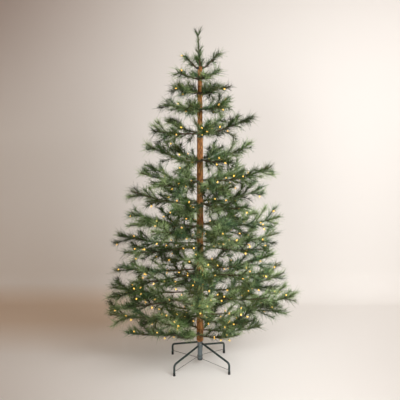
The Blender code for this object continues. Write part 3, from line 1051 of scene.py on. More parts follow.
@dataclass
class NeedleGrower:
    """Grows needles round strands: thin slivers that sweep forward, in rings with jitter."""

    shades: list[Material]
    ring_spacing: float = 0.0066
    ring_needles: int = 5
    thickness: float = 0.0026
    tip_share: float = 0.36
    shaded_core_share: float = 0.35
    pale_share: float = 0.26
    paler_by: float = 2.0
    widths: Span = (0.70, 1.20)
    lengths: Span = (0.32, 1.10)
    few_long: float = 1.6
    shortest: float = 0.004
    sweeps: Span = (0.50, 1.50)
    seed: int = 11

    def tree(self) -> Grower:
        """The tree that grows the needles.

        Returns:
            The tree.
        """
        tree = Grower("needles")
        spacing = tree.size("Ring spacing", self.ring_spacing)
        seed = tree.size("Seed", self.seed)
        line = tree.add("GeometryNodeMeshToCurve", {"Mesh": tree.entry.outputs["Geometry"]})
        spots = tree.add("GeometryNodeCurveToPoints", {"Curve": line, "Length": spacing}, mode="LENGTH")
        kept = spots
        for name, output in (("forward", "Tangent"), ("across", "Normal")):
            kept = tree.store(kept, name, port(spots.outputs, output), "FLOAT_VECTOR")
        rings = {"Geometry": kept, "Amount": tree.size("Needles in a ring", self.ring_needles)}
        many = tree.add("GeometryNodeDuplicateElements", rings, domain="POINT")
        chance = tree.chance(0.0, 1.0, seed, 3)
        many = tree.store(many, "shade", self.shade(tree, seed, chance), "INT")
        forward = tree.attribute("forward", "FLOAT_VECTOR")
        slide = tree.math("MULTIPLY", spacing, tree.chance(-0.5, 0.5, seed, 2))
        moved = tree.add("GeometryNodeSetPosition", {"Geometry": many, "Offset": tree.scaled(forward, slide)})
        aim = self.aim(tree, seed, forward)
        length = tree.spread(tree.math("POWER", chance, self.few_long), 0.0, 1.0, *self.lengths)
        length = tree.math("MULTIPLY", tree.attribute("needles"), length)
        width = tree.size("Needle thickness", self.thickness)
        width = tree.math("MULTIPLY", width, tree.chance(*self.widths, seed, 4))
        long_enough = {"A": tree.attribute("needles"), "B": self.shortest}
        inputs = {
            "Points": moved,
            "Selection": tree.add("FunctionNodeCompare", long_enough, operation="GREATER_THAN"),
            "Instance": self.sliver(tree),
            "Rotation": tree.add("FunctionNodeAlignRotationToVector", {"Vector": aim}, axis="Z"),
            "Scale": tree.add("ShaderNodeCombineXYZ", {"X": width, "Y": width, "Z": length}),
        }
        slivers = tree.add("GeometryNodeInstanceOnPoints", inputs)
        shape = tree.add("GeometryNodeRealizeInstances", {"Geometry": slivers})
        for number, material in enumerate(self.shades):
            same = {"A": tree.attribute("shade", "INT"), "B": number}
            chosen = tree.add("FunctionNodeCompare", same, data_type="INT", operation="EQUAL")
            dressed = {"Geometry": shape, "Selection": chosen, "Material": material}
            shape = tree.add("GeometryNodeSetMaterial", dressed)
        tree.end(shape)
        return tree

    def shade(self, tree: Grower, seed: object, chance: object) -> Node:
        """A needle's shade: its spray's, a paler one, or the deepest on a short needle, as painted shade in a
        spray's core.

        Args:
            tree: the tree while it is drawn.
            seed: the seed of its random numbers.
            chance: the random number, from 0 to 1, that also sets the needle's length.

        Returns:
            The shade's number.
        """
        # painted shade: the shortest needles, in a spray's core, take the deepest shade
        is_long = tree.math("GREATER_THAN", chance, self.shaded_core_share)
        is_pale = tree.math("LESS_THAN", tree.chance(0.0, 1.0, seed, 5), self.pale_share)
        paler = tree.math("MULTIPLY_ADD", is_pale, self.paler_by, tree.attribute("shade", "INT"))
        paler = tree.math("MINIMUM", paler, float(len(self.shades) - 1))
        return tree.math("MULTIPLY", paler, is_long)

    def aim(self, tree: Grower, seed: object, forward: object) -> Node:
        """A needle's direction: rolled round its strand, swept forward and lifted.

        Args:
            tree: the tree while it is drawn.
            seed: the seed of its random numbers.
            forward: the strand's direction.

        Returns:
            The direction.
        """
        across = tree.attribute("across", "FLOAT_VECTOR")
        over = tree.vector("CROSS_PRODUCT", forward, across)
        roll = tree.chance(-math.pi, math.pi, seed, 0)
        sweep = tree.math("MULTIPLY", tree.attribute("sweep"), tree.chance(*self.sweeps, seed, 1))
        round_it = tree.turned(across, over, roll)
        aim = tree.turned(forward, round_it, sweep)
        return tree.vector("ADD", aim, tree.add("ShaderNodeCombineXYZ", {"Z": tree.attribute("lift")}))

    def sliver(self, tree: Grower) -> Node:
        """A needle one unit wide and long: the hull of two crossed edges, with four faces.

        Args:
            tree: the tree while it is drawn.

        Returns:
            The node that gives the needle.
        """
        ends = tree.add("GeometryNodeJoinGeometry")
        root_edge = ((-0.5, 0, 0), (1, 0, 0))
        tip_edge = ((0, -self.tip_share / 2, 1), (0, self.tip_share, 0))
        for start, offset in (root_edge, tip_edge):
            edge = {"Count": 2, "Start Location": start, "Offset": offset}
            tree.feed(ends.inputs[0], tree.add("GeometryNodeMeshLine", edge))
        return tree.add("GeometryNodeConvexHull", {"Geometry": ends})


# Crown


@dataclass(frozen=True)
class Split:
    """A strong twig that splits a bough: where it leaves, how it turns (degrees), and its length."""

    bough: str
    share: float
    tilt: float
    angle: float
    length: float


SPLITS = (
    Split("2-6", 0.42, -80, 16, 0.28),
    Split("3-13", 0.55, -80, 14, 0.28),
    Split("3-17", 0.42, -78, 12, 0.28),
    Split("4-24", 0.40, -75, 8, 0.27),
    Split("6-37", 0.30, 80, 42, 0.17),
    Split("6-37", 0.36, -80, 14, 0.29),
    Split("8-49", 0.32, 78, 24, 0.24),
    Split("8-50", 0.12, -80, 55, 0.10),
    Split("9-54", 0.12, -80, 55, 0.10),
    Split("10-58", 0.30, -70, 40, 0.14),
)
# How the six shades are weighted for sprays in painted shade, inside and behind, and for sprays in painted
# light, in front and at the tips
SHADED_SPRAY_MIX = (0.52, 0.16, 0.16, 0.08, 0.05, 0.03)
LIT_SPRAY_MIX = (0.09, 0.11, 0.20, 0.17, 0.22, 0.21)
PAINTED_LIGHT_IN_FRONT = 0.35
PAINTED_LIGHT_OUTSIDE = 0.65


def pick_shade(label: str, azimuth: float, share: float) -> int:
    """The shade of a spray, with painted light and shade: lighter in front and near a bough's tip, and deeper
    inside and behind.

    Args:
        label: the spray's label.
        azimuth: the bough's direction, in radians.
        share: how far out on the bough the spray is.

    Returns:
        The shade's number.
    """
    painted_light = PAINTED_LIGHT_IN_FRONT * (1 - math.sin(azimuth)) / 2 + PAINTED_LIGHT_OUTSIDE * share
    weights = [blend(inner, outer, painted_light) for inner, outer in zip(SHADED_SPRAY_MIX, LIT_SPRAY_MIX)]
    return random.Random(f"shade {label}").choices(range(len(weights)), weights)[0]


@dataclass(frozen=True)
class Leader:
    """The shoot above the bark: its sizes from root to tip, its short twigs, and its forked tip."""

    limb: Span = (0.0062, 0.0026)
    needles: Span = (0.078, 0.040)
    sweep: Span = (56, 34)
    steps: int = 24
    sunk: float = 0.004
    below_tip: float = 0.012
    spurs: int = 6
    last_spur: float = 0.50
    spur_turn: float = 2.4
    spur_slant: float = 0.62
    spur_length: Span = (0.038, 0.024)
    tip_length: float = 0.036
    tip_slants: tuple[Span, ...] = ((-0.48, -0.1), (0.36, 0.1))
    tuft_wood: float = 0.0018
    tuft_needles: Span = (0.052, 0.044)
    tuft_sweep: Span = (34, 20)
    tuft_steps: int = 4

    def strands(self) -> list[Strand]:
        """The shoot itself and, after it, each of its twigs.

        Returns:
            The strands, with their needles.
        """
        rise = LEADER_TOP - TRUNK_TOP - self.below_tip
        shoot = Strand(shade=2)
        for step in range(self.steps + 1):
            share = step / self.steps
            place = Vector((LEADER_LEAN * share, 0, TRUNK_TOP - self.sunk + rise * share))
            sweep = math.radians(blend(*self.sweep, share))
            shoot.put(place, blend(*self.limb, share), blend(*self.needles, share), sweep)
        twigs = []
        for number in range(self.spurs):
            share = self.last_spur * (number + 0.5) / self.spurs
            turn = self.spur_turn * number + 0.4 * scatter(f"leader-spur-{number}")
            reach = polar(self.spur_slant, turn, 1.0).normalized() * blend(*self.spur_length, share)
            twigs.append(self.tuft(shoot.points[round(share * self.steps)], reach, 1 + number % 4))
        for slant in self.tip_slants:
            reach = Vector((*slant, 1.0)).normalized() * self.tip_length
            twigs.append(self.tuft(shoot.points[-2], reach, 0))
        return [shoot, *twigs]

    def tuft(self, root: Vector, reach: Vector, shade: int) -> Strand:
        """A short straight twig with needles all along.

        Args:
            root: where it leaves the shoot.
            reach: its direction and length.
            shade: its shade's number.

        Returns:
            The strand of the twig.
        """
        tuft = Strand(shade=shade)
        for step in range(self.tuft_steps + 1):
            share = step / self.tuft_steps
            sweep = math.radians(blend(*self.tuft_sweep, share))
            tuft.put(root + reach * share, self.tuft_wood, blend(*self.tuft_needles, share), sweep)
        return tuft


@dataclass
class Crown:
    """The boughs with all that grows on them."""

    limb: Span = (0.0052, 0.0026)
    twig: Span = (0.0028, 0.0016)
    needle_share: float = 2.75
    straight_needles: float = 1.35
    tip_needles: float = 0.80
    lift: Span = (0.10, 0.08)
    low_lift: float = 0.45
    low_tier: float = 0.30
    tuft: float = 0.040
    sweep: Span = (math.radians(50), math.radians(30))
    limb_step: float = 0.008
    twig_step: float = 0.020
    own_limb_bare: float = 0.24
    longest_bare: float = 0.06
    fade_in: Span = (0.04, 0.05)
    bough_sprays: tuple[float, ...] = (0.0, 0.22, 0.48, 0.74, 1.0)
    spur_spacing: Span = (0.036, 0.018)
    spur_length: Span = (0.070, 0.150)
    spur_share: float = 0.42
    spur_angle: Span = (math.radians(42), math.radians(58))
    first_spur: float = 0.02
    last_spur: Span = (0.62, 0.80)
    spur_needles: float = 0.85
    lower_edge: Span = (0.215, 0.39)
    room_to_hang: float = 0.6
    steepest: float = 85
    least_steep: float = 5
    open_below: float = 0.95
    open_share: float = 0.42
    full_below: float = 1.55
    full_share: float = 0.76
    top_share: float = 0.85
    infill_spacing: float = 0.095
    infill_stretch: Span = (0.28, 0.84)
    infill_share: float = 0.34
    infill_fade: float = 0.45
    infill_spread: float = 0.2
    infill_needles: float = 0.90
    shortest_infill: float = 0.055
    veiled: Span = (0.95, 1.35)
    veil_stretch: Span = (0.12, 0.52)
    veil_angle: float = math.radians(50)
    veil_tilt: float = math.radians(55)
    veil_length: float = 0.125
    veil_spread: float = 0.25
    veil_needles: float = 0.90
    veil_twigs: int = 5
    veil_faces: float = -0.6
    twiglet_shares: Span = (0.28, 0.60)
    twiglet_share: float = 0.55
    twiglet_fade: float = 0.4
    twiglet_spread: float = 0.2
    twiglet_needles: float = 0.85
    twiglet_tilt: float = math.radians(75)
    twiglet_lengths: Span = (0.034, 0.045)
    last_branched: float = 0.60
    side_needles: float = 0.95
    # painted light for the sprays of side twigs and of tips
    side_painted_light: float = 0.6
    tip_fork: float = 0.80
    tip_share: float = 0.95
    tip_painted_light: float = 0.9
    shortest_tip: float = 1.3
    tip_angle: float = math.radians(34)
    shortest_forked: float = 0.070
    fork_at: float = 0.58
    fork_share: float = 0.46
    fork_spread: float = 0.15
    fork_needles: float = 0.8
    fork_tilt: float = math.radians(70)
    shortest_fork: float = 0.040
    socket: Profile = ((-0.002, 0.0085), (0.012, 0.0085), (0.018, 0.0060))
    boughs: list[Bough] = field(default_factory=all_boughs)
    limbs: list[Strand] = field(default_factory=list)
    twigs: list[Strand] = field(default_factory=list)
    sprays: dict[str, list[Strand]] = field(default_factory=dict)
    shoots: list[tuple[Bough, Path]] = field(default_factory=list)

    def plan(self) -> None:
        """Grow every strand, from the trunk outwards."""
        room = self.room_of_boughs()
        for bough in self.boughs:
            self.add_bough(bough)
            for twig in side_twigs(bough):
                if self.finds_room(room, bough, twig):
                    self.add_side_twig(bough, twig)
            self.add_splits(bough)
            self.add_spurs(bough)
            self.add_infill(bough)
            self.add_veil(bough)
            self.add_tip_fork(bough)
        shoot, *tufts = Leader().strands()
        self.limbs.append(shoot)
        self.twigs += tufts
        self.sprays["leader"] = [shoot, *tufts]

    def bare_wood(self, bough: Bough) -> float:
        """The share of a bough, next to the trunk, where no needles grow.

        Args:
            bough: the bough.

        Returns:
            The share.
        """
        if bough.own_limb:
            return self.own_limb_bare
        return self.longest_bare * (1 + scatter(bough.label, "bare")) / 2

    def room_of_boughs(self) -> Room:
        """The room that the trunk, the leader and the boughs take up.

        Returns:
            The room, to which the side twigs add their own.
        """
        room = Room()
        trunk = [polar(0, 0, TRUNK_FOOT), polar(0, 0, TRUNK_TOP)]
        room.take("trunk", trunk, TRUNK_FOOT_RADIUS)
        room.take("leader", [trunk[1], polar(0, 0, LEADER_TOP)], TIERS[-1].needles)
        for bough in self.boughs:
            limb, needled = bough.room()
            room.take(bough.owner, limb, LIMB_RADIUS)
            room.take(bough.owner, needled, bough.tier.needles)
        return room

    def finds_room(self, room: Room, bough: Bough, twig: Twig) -> bool:
        """Whether a side twig keeps clear of the other masses; if so, its room is taken.

        Args:
            room: the room that is taken so far.
            bough: the bough.
            twig: the side twig.

        Returns:
            True where it keeps clear.
        """
        last = 1 - TOOTH_SWEEP * bough.tier.needles / twig.length
        shares = [FIRST_TEETH, last] if twig.length >= LONG_TWIG else [last]
        path = [twig.point(share) for share in (*shares, last + TIP_LENGTH / twig.length)]
        clear = room.is_clear(bough.owner, path, bough.tier.needles)
        if clear:
            room.take(bough.owner, path, bough.tier.needles)
        return clear

    def spray_for(self, bough: Bough) -> list[Strand]:
        """The strands whose needles belong to the bough's tier."""
        return self.sprays.setdefault(bough.label.split("-")[0].zfill(2), [])

    def fullness(self, bough: Bough) -> float:
        """How many of the usual number of twigs a bough has.

        Args:
            bough: the bough.

        Returns:
            The share, by the height of its tier.
        """
        if bough.tier.height < self.open_below:
            return self.open_share
        return self.full_share if bough.tier.height < self.full_below else self.top_share

    def spray(self, bough: Bough, shade: int) -> Strand:
        """A strand of the bough, with nothing on it yet.

        Args:
            bough: the bough.
            shade: the shade's number.

        Returns:
            The strand, kept with its tier's.
        """
        low = bough.tier.height < self.low_tier
        lift = self.low_lift if low else blend(*self.lift, bough.tier.straight)
        strand = Strand(shade=shade, lift=lift)
        self.spray_for(bough).append(strand)
        return strand

    def put_needles(self, strand: Strand, bough: Bough, path: Path, place: Span, full: float) -> None:
        """Carry a strand on to a place on a path, given as (share, thickness), with its needles.

        Args:
            strand: the strand.
            bough: the bough.
            path: what the strand follows.
            place: how far along the path, and the radius of the wood there.
            full: how long the needles are, as a share of their full length.
        """
        share, thickness = place
        tier = bough.tier
        longest = self.needle_share * tier.needles * blend(1.0, self.straight_needles, tier.straight)
        length = longest * full * blend(1.0, self.tip_needles, share**2)
        strand.put(path.point(share), thickness, length, blend(*self.sweep, share**2))

    def add_bough(self, bough: Bough) -> None:
        """The bough's own limb, with sprays of needles from its bare wood to its tip.

        Args:
            bough: the bough.
        """
        bare = self.bare_wood(bough)
        wood = 1 - self.tuft / bough.length
        count = math.ceil(bough.length * wood / self.limb_step)
        steps = range(count + 1)
        limb = [(bough.point(wood * step / count), blend(*self.limb, step / count)) for step in steps]
        stem = polar(bough.root, bough.stem_azimuth, bough.tier.height)
        self.limbs.append(bare_strand([(stem, self.limb[0]), *limb]))
        cuts = [round(count * blend(bare, 1.0, cut)) for cut in self.bough_sprays]
        for number, (first, last) in enumerate(zip(cuts, cuts[1:])):
            # painted light on a spray grows towards the bough's tip
            painted_light = (first + last) / (2 * count)
            spray = self.spray(bough, pick_shade(f"{bough.label}-{number}", bough.azimuth, painted_light))
            for step in range(first, last + 1):
                share = wood * step / count
                full = ramp(bare - self.fade_in[0], bare + self.fade_in[1], share)
                self.put_needles(spray, bough, bough, (share, 0.0), full)
        self.shoots.append((bough, bough))

    def add_twig(self, bough: Bough, twig: Twig, shade: int, needles: float) -> None:
        """A twig with needles all along, this share as long as the bough's.

        Args:
            bough: the bough that it grows on.
            twig: the twig.
            shade: the shade's number.
            needles: the length of its needles, as a share of the full length.
        """
        strand = self.spray(bough, shade)
        wood = 1 - self.tuft * needles / twig.length
        count = max(2, math.ceil(twig.length * wood / self.twig_step))
        for step in range(count + 1):
            share = wood * step / count
            self.put_needles(strand, bough, twig, (share, blend(*self.twig, share)), needles)
        self.twigs.append(strand)

    def add_forked(self, bough: Bough, twig: Twig, shade: int, needles: float) -> None:
        """A twig with needles all along, and with a finer one that makes a fork of its tip.

        Args:
            bough: the bough that it grows on.
            twig: the twig.
            shade: the shade's number.
            needles: the length of its needles, as a share of the full length.
        """
        self.add_twig(bough, twig, shade, needles)
        if twig.length > self.shortest_forked:
            label = f"{twig.label}-tip"
            tilt = self.fork_tilt * scatter(label, "tilt")
            length = self.fork_share * twig.length * uneven(label, self.fork_spread)
            length = max(length, self.shortest_fork)
            finer = fork(twig, label, self.fork_at, either_side(label), tilt, self.tip_angle, length)
            self.add_twig(bough, finer, shade, self.fork_needles * needles)

    def add_side_twig(self, bough: Bough, twig: Twig) -> None:
        """One of the source's side twigs, with finer ones of its own.

        Args:
            bough: the bough.
            twig: the side twig.
        """
        shade = pick_shade(twig.label, bough.azimuth, self.side_painted_light)
        self.add_forked(bough, twig, shade, self.side_needles)
        self.shoots.append((bough, twig))
        if math.hypot(twig.root.x, twig.root.y) / bough.reach > self.last_branched:
            return
        shortest, least = self.twiglet_lengths
        for number, share in enumerate(self.twiglet_shares):
            label = f"{twig.label}-{number}"
            length = self.twiglet_share * twig.length
            length *= (1 - self.twiglet_fade * share) * uneven(label, self.twiglet_spread)
            if length > shortest:
                tilt = self.twiglet_tilt * scatter(label, "tilt")
                angle, length = fork_angle(label), max(length, least)
                finer = fork(twig, label, share, alternate(number), tilt, angle, length)
                self.add_twig(bough, finer, shade, self.twiglet_needles)

    def add_splits(self, bough: Bough) -> None:
        """The strong twigs that make some boughs fork early.

        Args:
            bough: the bough.
        """
        for number, split in enumerate(SPLITS):
            if split.bough == bough.label:
                tilt, angle = math.radians(split.tilt), math.radians(split.angle)
                twig = fork(bough, f"split-{number}", split.share, 1, tilt, angle, split.length)
                self.add_side_twig(bough, twig)

    def row(self, bough: Bough, kind: str, count: int, stretch: Span) -> Iterator[tuple[str, float, int]]:
        """The label, the place and the side of each twig in an even row on a bough.

        Args:
            bough: the bough.
            kind: a word for the labels.
            count: how many twigs there are.
            stretch: where on the bough the row starts and ends.

        Yields:
            Each twig's label, its place on the bough, and its side, 1 or -1.
        """
        for number in range(count):
            place = blend(*stretch, (number + 0.5) / count)
            yield f"{bough.label}-{kind}-{number}", place, alternate(number)

    def add_spurs(self, bough: Bough) -> None:
        """Short twigs on the bough's limb, which fill the inside of the crown.

        Args:
            bough: the bough.
        """
        straight = bough.tier.straight
        stretch = (self.bare_wood(bough) + self.first_spur, blend(*self.last_spur, straight))
        spacing = blend(*self.spur_spacing, straight) / self.fullness(bough)
        count = round(bough.length * (stretch[1] - stretch[0]) / spacing)
        for label, share, side in self.row(bough, "spur", count, stretch):
            length = blend(*self.spur_length, (1 + scatter(label, "length")) / 2)
            length = min(length, self.spur_share * bough.length)
            tilt = self.any_tilt(bough, label, share, length)
            angle = fork_angle(label, blend(*self.spur_angle, straight))
            twig = fork(bough, label, share, -side, tilt, angle, length)
            self.add_forked(bough, twig, pick_shade(label, bough.azimuth, share), self.spur_needles)

    def any_tilt(self, bough: Bough, label: str, share: float, length: float) -> float:
        """How far a twig is turned up or down, in radians; none hangs below the crown's lower edge.

        Args:
            bough: the bough.
            label: the twig's label.
            share: where on the bough it leaves.
            length: its length.

        Returns:
            The tilt.
        """
        root = bough.point(share)
        edge = self.lower_edge[0] + self.lower_edge[1] * max(-root.y, 0.0)
        hangs = root.z - edge > self.room_to_hang * length
        lowest = -self.steepest if hangs else self.least_steep
        return math.radians(blend(lowest, self.steepest, (1 + scatter(label, "tilt")) / 2))

    def add_infill(self, bough: Bough) -> None:
        """Longer twigs between the source's own, which close the bough's fan.

        Args:
            bough: the bough.
        """
        count = round(bough.length * self.fullness(bough) / self.infill_spacing)
        for label, share, side in self.row(bough, "infill", count, self.infill_stretch):
            length = self.infill_share * bough.length * (1 - self.infill_fade * share)
            length *= uneven(label, self.infill_spread)
            if length > self.shortest_infill:
                tilt = self.any_tilt(bough, label, share, length)
                twig = fork(bough, label, share, side, tilt, fork_angle(label), length)
                shade = pick_shade(label, bough.azimuth, share)
                self.add_forked(bough, twig, shade, self.infill_needles)

    def add_veil(self, bough: Bough) -> None:
        """Twigs of a front bough that reach in front of the trunk.

        Args:
            bough: the bough.
        """
        low, high = self.veiled
        if not low < bough.tier.height < high or math.sin(bough.azimuth) > self.veil_faces:
            return
        towards = 1 if math.cos(bough.azimuth) > 0 else -1
        for label, share, _ in self.row(bough, "veil", self.veil_twigs, self.veil_stretch):
            tilt = self.veil_tilt * scatter(label, "tilt")
            length = self.veil_length * uneven(label, self.veil_spread)
            twig = fork(bough, label, share, towards, tilt, fork_angle(label, self.veil_angle), length)
            self.add_forked(bough, twig, pick_shade(label, bough.azimuth, share), self.veil_needles)

    def add_tip_fork(self, bough: Bough) -> None:
        """The last twig of a bough, which makes a fork of its tip.

        Args:
            bough: the bough.
        """
        label = f"{bough.label}-tip"
        length = self.tip_share * (1 - self.tip_fork) * bough.length
        if length > self.tuft * self.shortest_tip:
            tilt = FORK_TILT * scatter(label, "tilt")
            twig = fork(bough, label, self.tip_fork, either_side(label), tilt, self.tip_angle, length)
            shade = pick_shade(label, bough.azimuth, self.tip_painted_light)
            self.add_twig(bough, twig, shade, self.side_needles)

    def sockets(self) -> list[Strand]:
        """A short sleeve round each stem, where it leaves the bark.

        Returns:
            One strand for each stem.
        """
        strands = []
        for tier, azimuth in dict.fromkeys((bough.tier, bough.stem_azimuth) for bough in self.boughs):
            root = trunk_radius(tier.height - LIMB_RADIUS)
            spots = [(polar(root + away, azimuth, tier.height), radius) for away, radius in self.socket]
            strands.append(bare_strand(spots))
        return strands

    def build(self) -> list[Piece]:
        """The limbs, the twigs and the needles as meshes.

        Returns:
            The pieces, each riding on the body.
        """
        limbs = TubeGrower(LIMB_BARK, 6, 0.0006).grow(self.limbs, "boughs")
        twigs = TubeGrower(TWIG_WRAP, 4, 0.0002).grow(self.twigs, "twigs")
        sockets = TubeGrower(COLLAR_BLACK, 20).grow(self.sockets(), "bough_sockets")
        pieces = [ride(limbs, "bough_"), ride(twigs), ride(sockets)]
        tree = NeedleGrower([shade.material() for shade in NEEDLE_SHADES]).tree()
        for key, strands in self.sprays.items():
            tier = key if key == "leader" else f"tier_{key}"
            needles = tree.grow(strand_object(strands), f"needles_{tier}")
            pieces.append(ride(needles, f"foliage_{tier}"))
        return pieces


# Lights


@dataclass
class LightString:
    """Warm lamps on thin green wire that winds out along every bough."""

    pitch: float = 0.075
    stand_off: float = 0.0030
    wire: float = 0.0009
    step: float = 0.009
    bough_spacing: float = 0.130
    twig_spacing: float = 0.105
    gaps: Span = (0.24, 1.90)
    apart: float = -0.05
    first_gap: Span = (0.75, 0.25)
    lean: float = 0.7
    lit_bough: Span = (0.02, 0.72)
    lit_twig: Span = (0.05, 0.62)
    shortest_lit: float = 0.115
    holder: Profile = ((0.0, 0.0018), (0.002, 0.0030), (0.010, 0.0032), (0.011, 0.0027))
    dome: Profile = ((0.010, 0.0028), (0.013, 0.0039), (0.017, 0.0041), (0.021, 0.0030), (0.023, 0.0009))
    wires: list[Strand] = field(default_factory=list)
    lamps: list[tuple[Vector, Vector]] = field(default_factory=list)

    def wind(self, path: Path, stretch: Span, radius: float, spacing: float) -> None:
        """Wind a wire along a path, with a lamp at each spacing.

        Args:
            path: what the wire winds round.
            stretch: the shares of the path where it starts and ends.
            radius: the path's own thickness.
            spacing: the length of path from lamp to lamp.
        """
        first, last = stretch
        strand = Strand()
        count = max(3, math.ceil(path.length * (last - first) / self.step))
        start = math.pi * scatter(path.label, "wire")
        usual, spread = self.first_gap
        until = spacing * (usual + spread * scatter(path.label, "lamp"))
        for step in range(count + 1):
            share = blend(first, last, step / count)
            forward = path.heading(share)
            across, over = across_and_over(forward)
            gone = path.length * (share - first)
            turn = start + 2 * math.pi * gone / self.pitch
            out = across * math.cos(turn) + over * math.sin(turn)
            place = path.point(share) + out * (radius + self.stand_off)
            strand.put(place, self.wire)
            if gone >= until:
                self.lamps.append((place, (out + forward * self.lean).normalized()))
                close = scatter(path.label, "lamp", step) > self.apart
                until += spacing * self.gaps[0 if close else 1]
        self.wires.append(strand)

    def lamp_strands(self, profile: Profile) -> list[Strand]:
        """A short strand for each lamp, as thick as a profile of (distance, radius) points.

        Args:
            profile: the points, from the wire outwards.

        Returns:
            The strands.
        """
        return [
            bare_strand((place + aim * distance, radius) for distance, radius in profile)
            for place, aim in self.lamps
        ]

    def build(self, crown: Crown) -> list[Piece]:
        """The wires, the holders and the domes.

        Args:
            crown: the boughs that they wind along.

        Returns:
            The pieces, each riding on the body.
        """
        for bough, path in crown.shoots:
            if path is bough:
                self.wind(path, self.lit_bough, crown.limb[0], self.bough_spacing)
            elif path.length > self.shortest_lit:
                self.wind(path, self.lit_twig, crown.twig[0], self.twig_spacing)
        wires = TubeGrower(WIRE_GREEN, 3).grow(self.wires, "light_wires")
        holders = TubeGrower(WIRE_GREEN, 7).grow(self.lamp_strands(self.holder), "lamp_holders")
        domes = TubeGrower(BulbFinish(), 8).grow(self.lamp_strands(self.dome), "lamp_domes")
        LOG.info("%d lamps", len(self.lamps))
        return [ride(piece) for piece in (wires, holders, domes)]


# Trunk


@dataclass
class Trunk:
    """The bark-covered pole, its collars and where its sections meet."""

    sides: int = 72
    step: float = 0.0028
    chamfer: float = 0.012
    cut_radius: float = 0.0182
    joints: Span = tuple(section[0] for section in TRUNK_SECTIONS[1:])
    joint_height: float = 0.009
    joint_depth: float = 0.005
    joint_edge: float = 0.002
    collar: Span = (0.004, 0.0006)
    relief: float = 0.0021
    plate_scale: float = 58.0
    plate_stretch: float = 0.36
    plate_share: float = 0.75
    furrow: float = 0.16
    warp_scale: float = 90.0
    warp: float = 0.008
    grain_scale: float = 420.0
    grain_share: float = 0.30
    level: float = 0.62

    def radius(self, height: float) -> float:
        """The core's radius at a height, with the cut foot and the necks.

        Args:
            height: the height above the floor.

        Returns:
            The radius.
        """
        full = trunk_radius(height)
        foot = ramp(TRUNK_FOOT, TRUNK_FOOT + self.chamfer, height)
        near = min(abs(height - joint) for joint in self.joints)
        half = self.joint_height / 2
        neck = 1 - ramp(half, half + self.joint_edge, near)
        return blend(self.cut_radius, full, foot) - self.joint_depth * neck

    def axis(self) -> Strand:
        """The trunk's line, with its radius at each point.

        Returns:
            The strand.
        """
        count = round((TRUNK_TOP - TRUNK_FOOT) / self.step)
        heights = [blend(TRUNK_FOOT, TRUNK_TOP, step / count) for step in range(count + 1)]
        return bare_strand((polar(0, 0, height), self.radius(height)) for height in heights)

    def tree(self) -> Grower:
        """The tree that raises bark plates on a tube.

        Returns:
            The tree.
        """
        tree = Grower("bark")
        place = tree.vector("MULTIPLY", tree.add("GeometryNodeInputPosition"), (1.0, 1.0, self.plate_stretch))
        noise = {"Vector": place, "Scale": self.warp_scale, "Detail": 3.0}
        warp = port(tree.add("ShaderNodeTexNoise", noise).outputs, "Color")
        place = tree.vector("ADD", place, tree.scaled(warp, self.warp))
        cells = {"Vector": place, "Scale": self.plate_scale}
        edge = tree.add("ShaderNodeTexVoronoi", cells, feature="DISTANCE_TO_EDGE")
        cell = port(tree.add("ShaderNodeTexVoronoi", cells, feature="F1").outputs, "Color")
        plate = tree.add("ShaderNodeSeparateXYZ", {"Vector": cell})
        noise = {"Vector": place, "Scale": self.grain_scale, "Detail": 5.0}
        grain = tree.math("MULTIPLY", tree.add("ShaderNodeTexNoise", noise), self.grain_share)
        raised = tree.spread(edge, 0.0, self.furrow, 0.0, 1.0)
        height = tree.math("ADD", tree.math("MULTIPLY", raised, self.plate_share), grain)
        relief = tree.size("Relief", self.relief)
        push = tree.math("MULTIPLY", tree.math("SUBTRACT", height, self.level), relief)
        kept = tree.store(tree.push_out(tree.tubes(self.sides), push), "height", height)
        kept = tree.store(kept, "plate", port(plate.outputs, "X"))
        tree.end(kept, BarkFinish().material())
        return tree

    def build(self) -> list[Piece]:
        """The bark and the dark collars at its joints.

        Returns:
            The pieces, each riding on the body.
        """
        pieces = [ride(self.tree().grow(strand_object([self.axis()]), "bark"), "trunk")]
        sunk, proud = self.collar
        for number, joint in enumerate(self.joints, start=1):
            radius = trunk_radius(joint - 0.01) + proud
            rim = band(radius - sunk, radius, joint - self.joint_height, joint + self.joint_height)
            collar = lathe(f"trunk_collar_{number}", rim, 48, COLLAR_BLACK)
            pieces.append(ride(collar))
        return pieces


def band(inner: float, outer: float, low: float, high: float) -> Profile:
    """The profile of a plain ring."""
    return (inner, high), (outer, high), (outer, low), (inner, low)


def lathe(name: str, profile: Profile, sides: int, finish: Finish, middle: Vector = Vector()) -> Piece:
    """A closed turned shape with softened edges.

    Args:
        name: the object's name.
        profile: (radius, height) points, from the top down the outer side; a first and a last point
            off the axis are joined to each other, as in a ring.
        sides: how many facets it has round.
        finish: what it is dressed in.
        middle: the place of its axis.

    Returns:
        The object, with its place in its mesh.
    """
    build = bmesh.new()
    spots = [build.verts.new((radius, 0, height)) for radius, height in profile]
    edges = [build.edges.new(pair) for pair in zip(spots, spots[1:])]
    if profile[0][0] > 0 and profile[-1][0] > 0:
        edges.append(build.edges.new((spots[-1], spots[0])))
    whole = 2 * math.pi
    bmesh.ops.spin(build, geom=spots + edges, axis=(0, 0, 1), cent=(0, 0, 0), angle=whole, steps=sides)
    bmesh.ops.remove_doubles(build, verts=build.verts, dist=0.00001)
    bmesh.ops.recalc_face_normals(build, faces=build.faces)
    sharp = [edge for edge in build.edges if edge.calc_face_angle(0) > math.radians(35)]
    softened = {"geom": sharp, "offset": SOFT_EDGE, "segments": 2, "profile": 0.5, "affect": "EDGES"}
    bmesh.ops.bevel(build, clamp_overlap=True, **softened)
    bmesh.ops.translate(build, verts=build.verts, vec=middle)
    mesh = bpy.data.meshes.new(name)
    build.to_mesh(mesh)
    build.free()
    mesh.shade_smooth()
    return add_piece(name, mesh, finish.material())


# Stand


@dataclass(frozen=True)
class Leg:
    """One leg: its direction in degrees, and the height where its sleeve holds it."""

    word: str
    degrees: float
    height: float

    @property
    def azimuth(self) -> float:
        """Its direction in radians."""
        return math.radians(self.degrees)


